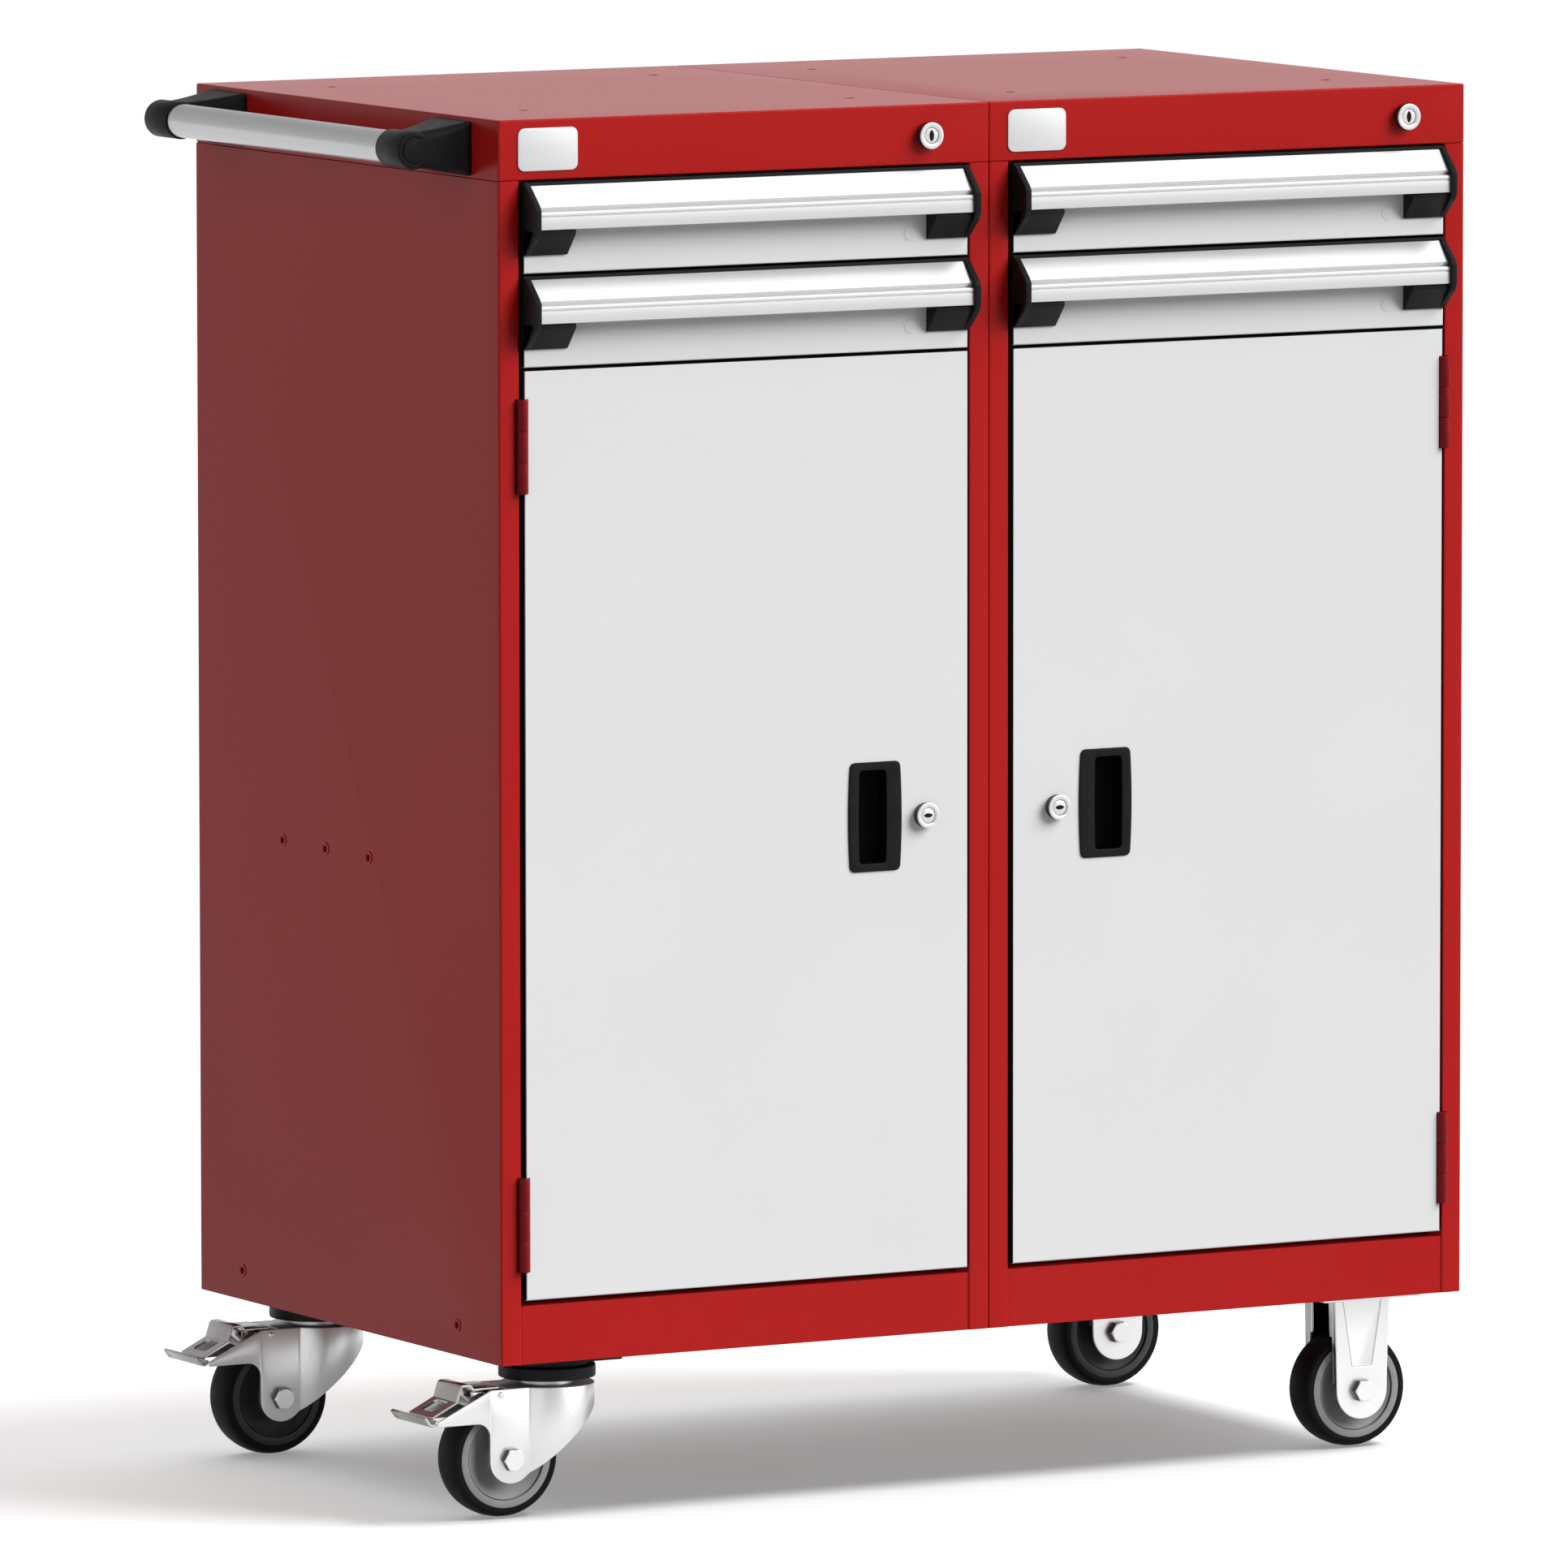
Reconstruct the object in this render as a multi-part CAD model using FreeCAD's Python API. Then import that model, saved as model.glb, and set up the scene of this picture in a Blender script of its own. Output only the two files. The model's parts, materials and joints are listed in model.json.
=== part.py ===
import FreeCAD, Part
import math
import os

# Mobile drawer cabinet: two steel housings side by side on four casters.
# Millimetres. X runs along the front, Y from the front to the back, Z up from the floor.
# The sizes below are given about the seam between the housings and the middle of the depth.

# Housings
unit_width = 457.2
depth = 533.4
housing_height = 1016.0
caster_height = 133.4
sheet = 1.2
bend = 1.8
post_width = 19.0
post_depth = 22.0
post_lip = 8.0
rear_flange = 20.0
cap_height = 49.6
cap_lip = 18.0
cap_bend = 1.6
stack_hole_radius = 4.2
stack_hole_x = 304.8
stack_hole_y = 336.0
base_height = 48.0
base_recess = 1.0
base_flange = 15.0
channel_width = 112.0
channel_plate = 2.5

# Fronts
opening_start = 50.8
head_room = 50.8
drawer_module = 76.2
front_gap = 2.0
side_gap = 2.1
front_proud = 2.5
front_bend = 1.4

# Drawers and their slides
front_depth = 14.0
front_return = 10.0
tray_sheet = 1.0
tray_lift = 8.0
tray_height = 60.0
tray_length = 480.0
slide_width = 12.7
slide_height = 36.0
slide_lift = 36.0
slide_length = 450.0
slide_travel = 420.0
slide_gauge = 1.2
slide_play = 0.3
slide_web_play = 0.6
slide_flange = 11.0
slide_setback = 2.5

# Drawer pulls, a full-width extrusion with moulded ends
pull_drop = 2.8
pull_wall = 1.8
pull_slope_reach = 16.0
pull_slope_drop = 19.6
pull_lip_reach = 19.0
pull_lip_top = 22.6
pull_lip_bottom = 37.8
pull_back_bottom = 34.0
pull_groove = 0.8
pull_end = 5.5
pull_end_reach = 22.0
pull_end_bottom = 44.0
pull_block_width = 40.0
pull_block_bottom = 59.5
pull_block_reach = 16.5
pull_block_toe = 2.0
pull_block_face = 3.2
pull_cap_rise = 1.2
pull_cap_over = 3.5
pull_cap_nose = 2.0
pull_cap_gap = 0.5

# Doors
door_depth = 19.0
door_return = 12.0
stiffener_width = 60.0
stiffener_depth = 12.0
door_pull_x = 109.5
door_pull_z = 432.0
door_pull_width = 47.0
door_pull_belly = 1.6
door_pull_height = 90.5
door_pull_rim = 1.6
door_pull_depth = 15.0
door_pull_wall = 1.6
pocket_near_rim = 8.5
pocket_far_rim = 13.5
pocket_height = 77.0
pocket_undercut = 7.0
pocket_floor = 1.5
pocket_round = 3.0
rim_round = 0.9
cup_inset = 1.9

# Hinges
hinge_length = 76.2
hinge_end = 24.0
hinge_radius = 4.75
hinge_pin_radius = 2.5
hinge_pin_play = 0.05
hinge_leaf = 1.5
hinge_leaf_depth = 18.0
hinge_knuckle_play = 0.3
hinge_notch = 0.45
hinge_strip_gap = 1.2
hinge_pin_recess = 1.0

# Locks
cap_lock_x = 58.2
cap_lock_drop = 25.4
cap_lock_radius = 11.0
cap_lock_reach = 8.0
door_lock_x = 62.5
door_lock_z = 431.0
door_lock_radius = 10.5
door_lock_reach = 7.5
lock_barrel_radius = 9.0
lock_plug_radius = 6.5
lock_plug_play = 0.05
lock_hole_play = 0.1
lock_nut_flats = 23.4
lock_nut = 4.0
plug_recess = 0.6
key_slot_width = 1.8
key_slot_height = 8.4
key_slot_depth = 5.4
cam_width = 14.0
cam_length = 51.0
cam_thickness = 2.4
cam_play = 0.6
crank_arm = 8.5
crank_pin_radius = 2.0
crank_slot_play = 0.7
crank_plate = 2.0

# Bar that the cap lock drops in front of the drawers' catches
bar_width = 11.0
bar_thickness = 2.0
bar_inset = 5.5
bar_play = 0.3
bar_foot = 50.0
bar_arm = 12.0
tab_rest = 67.5
tab_height = 5.0
tab_length = 10.0
catch_low = 57.0
catch_high = 66.0
catch_length = 9.0
catch_play = 0.8

# Inside of the housings
standard_width = 30.0
standard_inset = 40.0
slot_width = 3.2
slot_height = 13.0
slot_pitch = 50.8
slot_start = 40.0
shelf_sheet = 1.2
shelf_slot = 6
shelf_front_inset = 36.0
shelf_back_inset = 8.0
shelf_flange = 20.0
divider_gap = 0.4
divider_setback = 1.2
shelf_play = 0.3
hook_thickness = 2.4
hook_height = 10.0
hook_length = 4.0

# Push handle on the left side
handle_drop = 25.5
handle_y = 9.0
handle_reach = 50.0
handle_radius = 14.0
handle_tube_wall = 1.5
handle_foot_inner = 165.0
handle_foot_outer = 230.0
handle_sleeve_inner = 186.0
handle_sleeve_outer = 226.0
handle_sleeve_radius = 15.5
handle_foot_height = 44.0
handle_neck_height = 27.0
handle_foot = 5.0
handle_end_wall = 4.0

# Badges and rivet nuts
badge_width = 55.0
badge_height = 35.0
badge_inset = 45.0
badge_drop = 24.5
badge_thickness = 1.2
badge_corner = 6.0
rivet_flange_radius = 5.5
rivet_flange = 0.8
rivet_body_radius = 4.4
rivet_body = 11.0
rivet_hole_radius = 3.1
rivet_row_pitch = 76.2
rivet_row_y = 38.4
rivet_row_z = 394.8
rivet_foot_spacing = 381.0
rivet_foot_z = 25.0

# Casters
wheel_radius = 50.0
wheel_width = 32.0
wheel_crown = 2.6
hub_radius = 41.0
hub_rim = 6.0
hub_step = 1.0
hub_dish = 7.0
hub_boss_radius = 13.0
hub_length = 45.2
axle_radius = 5.0
axle_play = 0.05
axle_head_flats = 17.0
axle_head = 6.4
caster_y = 203.2
swivel_inset = 76.2
swivel_offset = 46.5
fixed_inset = 73.2
leg_outer = 25.5
leg_sheet = 2.5
plate_length = 95.0
plate_width = 85.0
plate_thickness = 4.8
upper_race_radius = 34.0
upper_race = 4.8
cover_radius = 40.0
cover_thickness = 10.6
race_radius = 24.0
neck_radius = 22.0
race_play = 0.3
crown_drop = 24.9
kingpin_radius = 6.0
kingpin_head_radius = 11.0
kingpin_head = 3.0
fork_nose_u = -68.0
fork_nose_low = 31.0
fork_nose_high = 35.0
fork_nose_angle = 25.5
fork_leg_u = -19.8
fork_arch_radius = 11.5
fork_foot_radius = 20.0
fork_heel_angle = 40.0
fork_bow_radius = 39.0
fork_bow_w = 40.0
crown_start_u = -2.0
fixed_leg_top = 53.0
fixed_leg_axle = 49.0
fixed_leg_flange = 9.0
fixed_flange_drop = 78.0
emboss_depth = 0.9
emboss_inset = 7.5
emboss_low_half = 9.5
emboss_low_w = 20.6
bolt_radius = 4.0
bolt_head_flats = 13.0
bolt_head = 5.5
bolt_play = 0.2
bolt_spacing_x = 70.0
bolt_spacing_y = 60.0
join_bolt_inset = 90.0
join_bolt_rise = 120.0
join_bolt_drop = 220.0

# Brake pedals, from the wheel's axle: u along the fork, w up
pedal_sheet = 2.4
pedal_pad_width = 40.0
pedal_lip_width = 60.0
pedal_pivot_u = -10.0
pedal_pivot_w = 54.0
pedal_pin_radius = 2.5
pedal_pin_play = 0.05
pedal_pin_stub = 1.5
pedal_barrel_radius = 4.0
pedal_arm_w = 57.6
pedal_curl_u = -47.0
pedal_curl = (-5.5, -2.6)
pedal_pad_start_u = -28.0
pedal_pad_angle = 26.3
pedal_pad_end_u = -70.5
pedal_lip_u = -73.0
pedal_lip_w = 33.2
pedal_toe = (-76.5, 31.8)
pedal_rise = (-80.5, 34.0)
pedal_tip = (-83.5, 40.0)
pedal_window_from = -63.0
pedal_window_to = -45.0
pedal_window_width = 22.0
shoe_width = 28.0
shoe_radius = 53.0
shoe_from_u = -32.0
shoe_to_u = -20.0

# Worked-out places
half = unit_width / 2
front_y = -depth / 2
back_y = depth / 2
face_y = front_y - front_proud
base_z = caster_height
joint_z = base_z + housing_height - cap_height
top_z = base_z + housing_height
door_module = housing_height - opening_start - head_room - 2 * drawer_module
cap_lock_z = housing_height - cap_lock_drop
badge_z = housing_height - badge_drop
handle_z = housing_height - handle_drop
door_low = base_z + opening_start + front_gap
door_high = base_z + opening_start + door_module
front_width = unit_width - 2 * post_width - 2 * side_gap
tray_half = half - post_width - slide_width
axle_z = wheel_radius
crown_z = base_z - crown_drop
cover_high = base_z - plate_thickness - upper_race
cover_low = cover_high - cover_thickness
swivel_axle_x = swivel_inset - unit_width - swivel_offset
fixed_axle_x = unit_width - fixed_inset
hinge_x = half - post_width - side_gap / 2
bar_drop = 2 * crank_arm * math.sin(math.radians(45))
standard_depth = post_width - sheet
left_reach = min(swivel_axle_x + pedal_tip[0], -unit_width - handle_reach - handle_sleeve_radius)
right_reach = unit_width
front_reach = face_y - pull_end_reach
origin_x = (left_reach + right_reach) / 2
origin_y = (front_reach + back_y) / 2
left_centre = -half
right_centre = half
housings = {"left": left_centre, "right": right_centre}
drawer_floors = {"lower": door_high, "upper": door_high + drawer_module}


def vec(x, y, z):
    return FreeCAD.Vector(x, y, z)


def block(x0, x1, y0, y1, z0, z1):
    low = vec(min(x0, x1), min(y0, y1), min(z0, z1))
    return Part.makeBox(abs(x1 - x0), abs(y1 - y0), abs(z1 - z0), low)


def rod(radius, start, end):
    run = end - start
    return Part.makeCylinder(radius, run.Length, start, run)


def joined(shapes):
    return shapes[0].multiFuse(shapes[1:]).removeSplitter()


def less(shape, cutters):
    return shape.cut(Part.makeCompound(cutters))


def drilled(pieces, holes):
    """The pieces of one sheet with holes cut where they meet them."""
    return [less(piece, holes) for piece in pieces]


def face_of(points):
    return Part.Face(Part.makePolygon(points + [points[0]]))


def prism_x(points, x0, x1):
    """A solid from (y, z) points, drawn out along X."""
    return face_of([vec(x0, y, z) for y, z in points]).extrude(vec(x1 - x0, 0, 0))


def prism_y(points, y0, y1):
    """A solid from (x, z) points, drawn out along Y."""
    return face_of([vec(x, y0, z) for x, z in points]).extrude(vec(0, y1 - y0, 0))


def prism_z(points, z0, z1):
    """A solid from (x, y) points, drawn out along Z."""
    return face_of([vec(x, y, z0) for x, y in points]).extrude(vec(0, 0, z1 - z0))


def crossing(a, b, c, d):
    """Where the line a-b meets the line c-d."""
    ux, uy = b[0] - a[0], b[1] - a[1]
    vx, vy = d[0] - c[0], d[1] - c[1]
    t = ((c[0] - a[0]) * vy - (c[1] - a[1]) * vx) / (ux * vy - uy * vx)
    return a[0] + t * ux, a[1] + t * uy


def folded(points, gauge):
    """Outline of a bent sheet: the points on one face, and the same line set off to its left."""
    lines = []
    for (x0, y0), (x1, y1) in zip(points, points[1:]):
        run = math.hypot(x1 - x0, y1 - y0)
        nx, ny = -(y1 - y0) / run * gauge, (x1 - x0) / run * gauge
        lines.append(((x0 + nx, y0 + ny), (x1 + nx, y1 + ny)))
    inner = [lines[0][0]]
    for first, second in zip(lines, lines[1:]):
        inner.append(crossing(*first, *second))
    inner.append(lines[-1][1])
    return points + inner[::-1]


def outlined(places, bends):
    """Closed wire through (x, z) places; bends holds an arc's middle point by its start's index."""
    ring = [vec(x, 0, z) for x, z in places]
    edges = []
    for index, start in enumerate(ring):
        end = ring[(index + 1) % len(ring)]
        if index in bends:
            x, z = bends[index]
            edges.append(Part.Arc(start, vec(x, 0, z), end).toShape())
        else:
            edges.append(Part.makeLine(start, end))
    return Part.Wire(edges)


def rounded(shape, radius, wanted):
    """Round the edges whose middle point passes the test."""
    edges = [e for e in shape.Edges if wanted(e.CenterOfMass)]
    return shape.makeFillet(radius, edges)


def near(a, b):
    return abs(a - b) < 0.01


def mirrored(shape):
    return shape.mirror(vec(0, 0, 0), vec(1, 0, 0))


def moved(shape, x, y, z):
    copy = shape.copy()
    copy.translate(vec(x, y, z))
    return copy


def hexagon(flats, centre, axis, height):
    """A hexagonal head that stands on centre and grows along axis."""
    radius = flats / math.sqrt(3)
    ring = [vec(radius * math.cos(a * math.pi / 3), radius * math.sin(a * math.pi / 3), 0)
            for a in range(6)]
    head = face_of(ring).extrude(vec(0, 0, height))
    head.Placement = FreeCAD.Placement(centre, FreeCAD.Rotation(vec(0, 0, 1), axis))
    return head


def save(name, solids):
    """Write one node, moved so that the origin is under the middle of the whole cabinet."""
    whole = solids[0] if len(solids) == 1 else Part.makeCompound(solids)
    moved(whole, -origin_x, -origin_y, 0).exportStep("parts/" + name + ".step")


def side_panel(wall_x, inward, bar_side=False, hinge_side=False):
    """A folded side of flat strips and a front post, face to face, cut like the sheet's bends."""
    post_back = front_y + post_depth
    section = [
        (0, post_back),
        (0, front_y),
        (post_width, front_y),
        (post_width, post_back),
        (post_width - post_lip, post_back),
    ]
    post = prism_z(folded(section, sheet), base_z, joint_z)
    post = joined([post, block(0, post_width, front_y, post_back, joint_z - sheet, joint_z)])
    post = rounded(post, bend, lambda p: near(p.y, front_y) and near(p.x % post_width, 0)
                   and near(p.z, (base_z + joint_z) / 2))
    web = block(0, sheet, post_back, back_y, base_z, joint_z)
    rear = block(sheet, rear_flange, back_y - sheet, back_y, base_z, joint_z)
    head = [block(sheet, post_width, post_back, back_y - sheet, joint_z - sheet, joint_z)]
    if bar_side:
        head = top_flange_round_bar()
    if hinge_side:
        post = less(post, [moved(hinge_notch_room(z), unit_width, 0, 0) for z in hinge_starts()])
    panel = [post, web, rear] + head
    if inward < 0:
        panel = [mirrored(piece) for piece in panel]
    return [moved(piece, wall_x, 0, 0) for piece in panel]


def top_flange_round_bar():
    """Flange behind the post as strips beside and behind the lock bar's slot."""
    slot = bar_slot(0, 1).BoundBox
    low, high = joint_z - sheet, joint_z
    post_back = front_y + post_depth
    return [
        block(sheet, slot.XMin, post_back, slot.YMax, low, high),
        block(slot.XMax, post_width, post_back, slot.YMax, low, high),
        block(sheet, post_width, slot.YMax, back_y - sheet, low, high),
    ]


def bar_slot(wall_x, inward):
    """Room for the lock bar through the flanges of the side and of the cap."""
    clear = 1.0
    near_x = wall_x + inward * (bar_inset - clear)
    far_x = wall_x + inward * (bar_inset + bar_width + clear)
    bar_y = front_y + post_depth + bar_play
    return block(near_x, far_x, bar_y - clear, bar_y + bar_thickness + clear,
                 joint_z - 2 * sheet, joint_z + 2 * sheet)


def outer_left_panel():
    holes = [rod(rivet_body_radius, vec(-unit_width - 1, y, z), vec(-unit_width + 3, y, z))
             for y, z in rivet_places()]
    return drilled(side_panel(-unit_width, 1, hinge_side=True), holes)


def rivet_places():
    row = [rivet_row_y + k * rivet_row_pitch for k in (-1, 0, 1)]
    places = [(y, base_z + rivet_row_z) for y in row]
    places += [(k * rivet_foot_spacing / 2, base_z + rivet_foot_z) for k in (-1, 1)]
    return places


def rivet_nut(y, z):
    wall = -unit_width
    nut = joined([
        rod(rivet_flange_radius, vec(wall - rivet_flange, y, z), vec(wall, y, z)),
        rod(rivet_body_radius, vec(wall, y, z), vec(wall + rivet_body, y, z)),
    ])
    return nut.cut(rod(rivet_hole_radius, vec(wall - 2, y, z), vec(wall + rivet_body + 1, y, z)))


def back_panel(centre):
    outer = back_y - sheet
    return block(centre - half + sheet, centre + half - sheet, outer - sheet, outer,
                 base_z, joint_z - sheet)


def base_pan(centre, caster_x):
    """Compartment floor with its apron and flanges, and the channel that carries the casters."""
    left, right = centre - half + sheet, centre + half - sheet
    rear = back_y - 2 * sheet
    floor_top = base_z + base_height
    apron_y = front_y + base_recess
    floor = block(left, right, apron_y, rear, floor_top - sheet, floor_top)
    notches = [block(centre - s * half, centre - s * (half - post_width), front_y - 1,
                     front_y + post_depth, base_z - 1, floor_top + 1) for s in (-1, 1)]
    post_in = half - post_width
    apron = block(centre - post_in, centre + post_in, apron_y, apron_y + sheet, base_z, floor_top)
    flanges = [block(x, x + s * sheet, front_y + post_depth, rear, floor_top - base_flange, floor_top)
               for x, s in ((left, 1), (right, -1))]
    back = block(left, right, rear - sheet, rear, base_z, floor_top)
    low = caster_x - channel_width / 2
    high = caster_x + channel_width / 2
    section = [(high, floor_top - sheet), (high, base_z), (low, base_z), (low, floor_top - sheet)]
    channel = prism_y(folded(section, -channel_plate), apron_y + sheet, rear - sheet)
    inside = block(left, right, apron_y, rear, base_z - 1, floor_top)
    pan = joined([floor, apron, back, channel.common(inside)] + flanges)
    holes = [rod(bolt_radius + bolt_play, vec(x, y, base_z - 1), vec(x, y, base_z + channel_plate + 1))
             for x, y in bolt_places(caster_x)]
    return less(pan, holes + notches)


def bolt_places(caster_x):
    return [(caster_x + i * bolt_spacing_x / 2, side * caster_y + j * bolt_spacing_y / 2)
            for side in (-1, 1) for i in (-1, 1) for j in (-1, 1)]


def top_cap(centre):
    """Top pan turned down on four sides, with lips that rest on the sides' flanges."""
    left, right = centre - half, centre + half
    shell = block(left, right, front_y, back_y, joint_z, top_z)
    edge_z = (top_z, joint_z)
    shell = rounded(shell, cap_bend, lambda p: near(p.z, edge_z[0]) or near(p.z, edge_z[1])
                    or (near(abs(p.y), back_y) and near(abs(p.x - centre), half)))
    room = block(left + sheet, right - sheet, front_y + sheet, back_y - sheet,
                 joint_z + sheet, top_z - sheet)
    mouth = block(left + cap_lip, right - cap_lip, front_y + cap_lip, back_y - cap_lip,
                  joint_z - 1, joint_z + sheet + 1)
    holes = [rod(stack_hole_radius, vec(centre + i * stack_hole_x / 2, j * stack_hole_y / 2, top_z - 5),
                 vec(centre + i * stack_hole_x / 2, j * stack_hole_y / 2, top_z + 5))
             for i in (-1, 1) for j in (-1, 1)]
    lock_x = right - cap_lock_x
    lock_z = base_z + cap_lock_z
    lock_room = lock_barrel_radius + lock_hole_play
    lock = rod(lock_room, vec(lock_x, front_y - 1, lock_z), vec(lock_x, front_y + 5, lock_z))
    return less(shell, [room, mouth, lock, bar_slot(right, -1)] + holes)


def divider_shelf(centre):
    """Dust panel between the drawers and the door compartment."""
    span = half - post_width
    top = door_high + front_gap - divider_gap
    front = face_y + door_depth + divider_setback
    rear = back_y - 2 * sheet
    plate = block(centre - span, centre + span, front, rear, top - shelf_sheet, top)
    lip = block(centre - span, centre + span, front, front + shelf_sheet, top - shelf_flange, top)
    sides = [block(centre - s * span, centre - s * (span - shelf_sheet), front, rear,
                   top - shelf_flange, top) for s in (-1, 1)]
    return joined([plate, lip] + sides)


def slot_height_at(index):
    return base_z + base_height + slot_start + index * slot_pitch


def standard_rows():
    """Y range of the front and of the rear slotted uprights."""
    front = front_y + standard_inset
    rear = back_y - standard_inset
    return (front, front + standard_width), (rear - standard_width, rear)


def slotted_upright(wall_x, inward, y0, y1):
    """Channel that stands against a side, with slots for the shelf hooks."""
    face_x = wall_x + inward * standard_depth
    foot = base_z + base_height
    head = joint_z - sheet
    section = [(wall_x, y0), (face_x, y0), (face_x, y1), (wall_x, y1)]
    upright = prism_z(folded(section, inward * sheet), foot, head)
    middle = (y0 + y1) / 2
    count = int((head - foot - slot_start - slot_height) / slot_pitch) + 1
    slots = [block(face_x - 2 * sheet, face_x + 2 * sheet, middle - slot_width / 2,
                   middle + slot_width / 2, slot_height_at(k), slot_height_at(k) + slot_height)
             for k in range(count)]
    return less(upright, slots)


def storage_shelf(centre):
    """Shelf with turned-down edges and four hooks that hang in the uprights' slots."""
    span = half - post_width - shelf_play
    hook_low = slot_height_at(shelf_slot)
    top = hook_low + hook_height
    front = front_y + shelf_front_inset
    rear = back_y - 2 * sheet - shelf_back_inset
    plate = block(centre - span, centre + span, front, rear, top - shelf_sheet, top)
    lips = [block(centre - span, centre + span, y, y + s * shelf_sheet, top - shelf_flange, top)
            for y, s in ((front, 1), (rear, -1))]
    sides = [block(centre - s * span, centre - s * (span - shelf_sheet), front, rear,
                   top - shelf_flange, top) for s in (-1, 1)]
    hooks = []
    for y0, y1 in standard_rows():
        middle = (y0 + y1) / 2
        for s in (-1, 1):
            hooks.append(block(centre + s * (span - shelf_sheet), centre + s * (span + hook_length),
                               middle - hook_thickness / 2, middle + hook_thickness / 2,
                               hook_low + shelf_play, top))
    return joined([plate] + lips + sides + hooks)


def channel_profile(plane_x, inward, web, reach, height, centre_z):
    """A C section that opens inward: web from plane_x + web, flanges out to reach."""
    x0 = plane_x + inward * web
    x1 = plane_x + inward * reach
    low, high = centre_z - height / 2, centre_z + height / 2
    section = [(x1, high), (x0, high), (x0, low), (x1, low)]
    return folded(section, inward * slide_gauge)


def cabinet_runner(plane_x, inward, floor_z):
    start = face_y + front_depth + slide_setback
    profile = channel_profile(plane_x, inward, 0, slide_flange, slide_height, floor_z + slide_lift)
    return prism_y(profile, start, start + slide_length)


def drawer_carriage(plane_x, inward, floor_z):
    """Middle member of a slide: it runs half as far as the drawer."""
    start = face_y + front_depth + slide_setback
    height = slide_height - 2 * slide_gauge - 2 * slide_play
    web = slide_gauge + slide_web_play
    profile = channel_profile(plane_x, inward, web, slide_flange, height, floor_z + slide_lift)
    return prism_y(profile, start, start + slide_length - 10)


def drawer_rail(plane_x, inward, floor_z):
    """Slide member on the drawer's side, which opens outward."""
    start = face_y + front_depth
    height = slide_height - 4 * slide_gauge - 4 * slide_play
    reach = 2 * slide_gauge + 2 * slide_web_play
    profile = channel_profile(plane_x + inward * slide_width, -inward, 0, slide_width - reach,
                              height, floor_z + slide_lift)
    return prism_y(profile, start, start + slide_length)


def drawer_body(centre, floor_z):
    """Folded front, tray behind it, two rails and the catch for the lock bar, face to face."""
    wide = front_width / 2
    low, high = floor_z + front_gap, floor_z + drawer_module
    back = face_y + front_depth
    front = block(centre - wide, centre + wide, face_y, back, low, high)
    front = rounded(front, front_bend, lambda p: near(p.y, face_y))
    hollow = block(centre - wide + tray_sheet, centre + wide - tray_sheet, face_y + tray_sheet,
                   back - tray_sheet, low + tray_sheet, high - tray_sheet)
    window = block(centre - wide + front_return, centre + wide - front_return, back - 2, back + 1,
                   low + front_return, high - front_return)
    front = less(front, [hollow, window])
    tray_low = floor_z + tray_lift
    tray_high = tray_low + tray_height
    tray = block(centre - tray_half, centre + tray_half, back, back + tray_length, tray_low, tray_high)
    room = block(centre - tray_half + tray_sheet, centre + tray_half - tray_sheet, back + tray_sheet,
                 back + tray_length - tray_sheet, tray_low + tray_sheet, tray_high + 1)
    rails = [drawer_rail(centre + s * (half - post_width), -s, floor_z) for s in (-1, 1)]
    catch_y = bar_top_y() + bar_thickness + catch_play
    wall = centre + tray_half
    catch = block(wall, wall + catch_length, catch_y, catch_y + bar_thickness,
                  floor_z + catch_low, floor_z + catch_high)
    return [front, tray.cut(room), catch] + rails


def pull_outline(top):
    """Section of the pull as (y, z): back flange, sloping hood, small groove and hanging lip."""
    slope = (pull_slope_drop - pull_drop) / (pull_slope_reach - pull_wall)
    under = pull_wall * math.sqrt(1 + slope * slope)
    corner = pull_slope_drop
    outline = [
        (0, pull_drop),
        (pull_wall, pull_drop),
        (pull_slope_reach, corner),
        (pull_slope_reach - pull_groove, corner + pull_groove),
        (pull_slope_reach, corner + 2 * pull_groove),
        (pull_lip_reach, pull_lip_top),
        (pull_lip_reach, pull_lip_bottom),
        (pull_lip_reach - pull_wall, pull_lip_bottom),
        (pull_lip_reach - pull_wall, pull_lip_top + pull_wall),
        (pull_slope_reach - pull_wall, corner + 2 * pull_wall),
        (pull_wall, pull_drop + under),
        (pull_wall, pull_back_bottom),
        (0, pull_back_bottom),
    ]
    return [(face_y - reach, top - drop) for reach, drop in outline]


def drawer_pull(centre, floor_z):
    span = front_width / 2 - pull_end
    return prism_x(pull_outline(floor_z + drawer_module), centre - span, centre + span)


def pull_ends(centre, floor_z):
    """Moulded caps over the ends of the pull, each with a wedge under the lip."""
    top = floor_z + drawer_module
    wide = front_width / 2
    rise = pull_drop - pull_cap_rise
    cap = [(0, rise), (pull_wall + pull_cap_rise, rise),
           (pull_slope_reach + pull_cap_over, pull_slope_drop - pull_cap_nose),
           (pull_end_reach, pull_slope_drop + pull_cap_nose),
           (pull_end_reach, pull_lip_bottom), (pull_lip_reach, pull_end_bottom), (0, pull_block_bottom)]
    block_top = pull_lip_bottom + pull_cap_gap
    wedge = [(0, block_top), (pull_block_reach, block_top),
             (pull_block_reach, block_top + pull_block_face), (pull_block_toe, pull_block_bottom),
             (0, pull_block_bottom)]
    ends = []
    for s in (-1, 1):
        edge = centre + s * wide
        plate = prism_x([(face_y - r, top - d) for r, d in cap], edge - s * pull_end, edge)
        foot = prism_x([(face_y - r, top - d) for r, d in wedge], edge - s * pull_block_width, edge)
        ends.append(joined([plate, foot]))
    return ends


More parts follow.
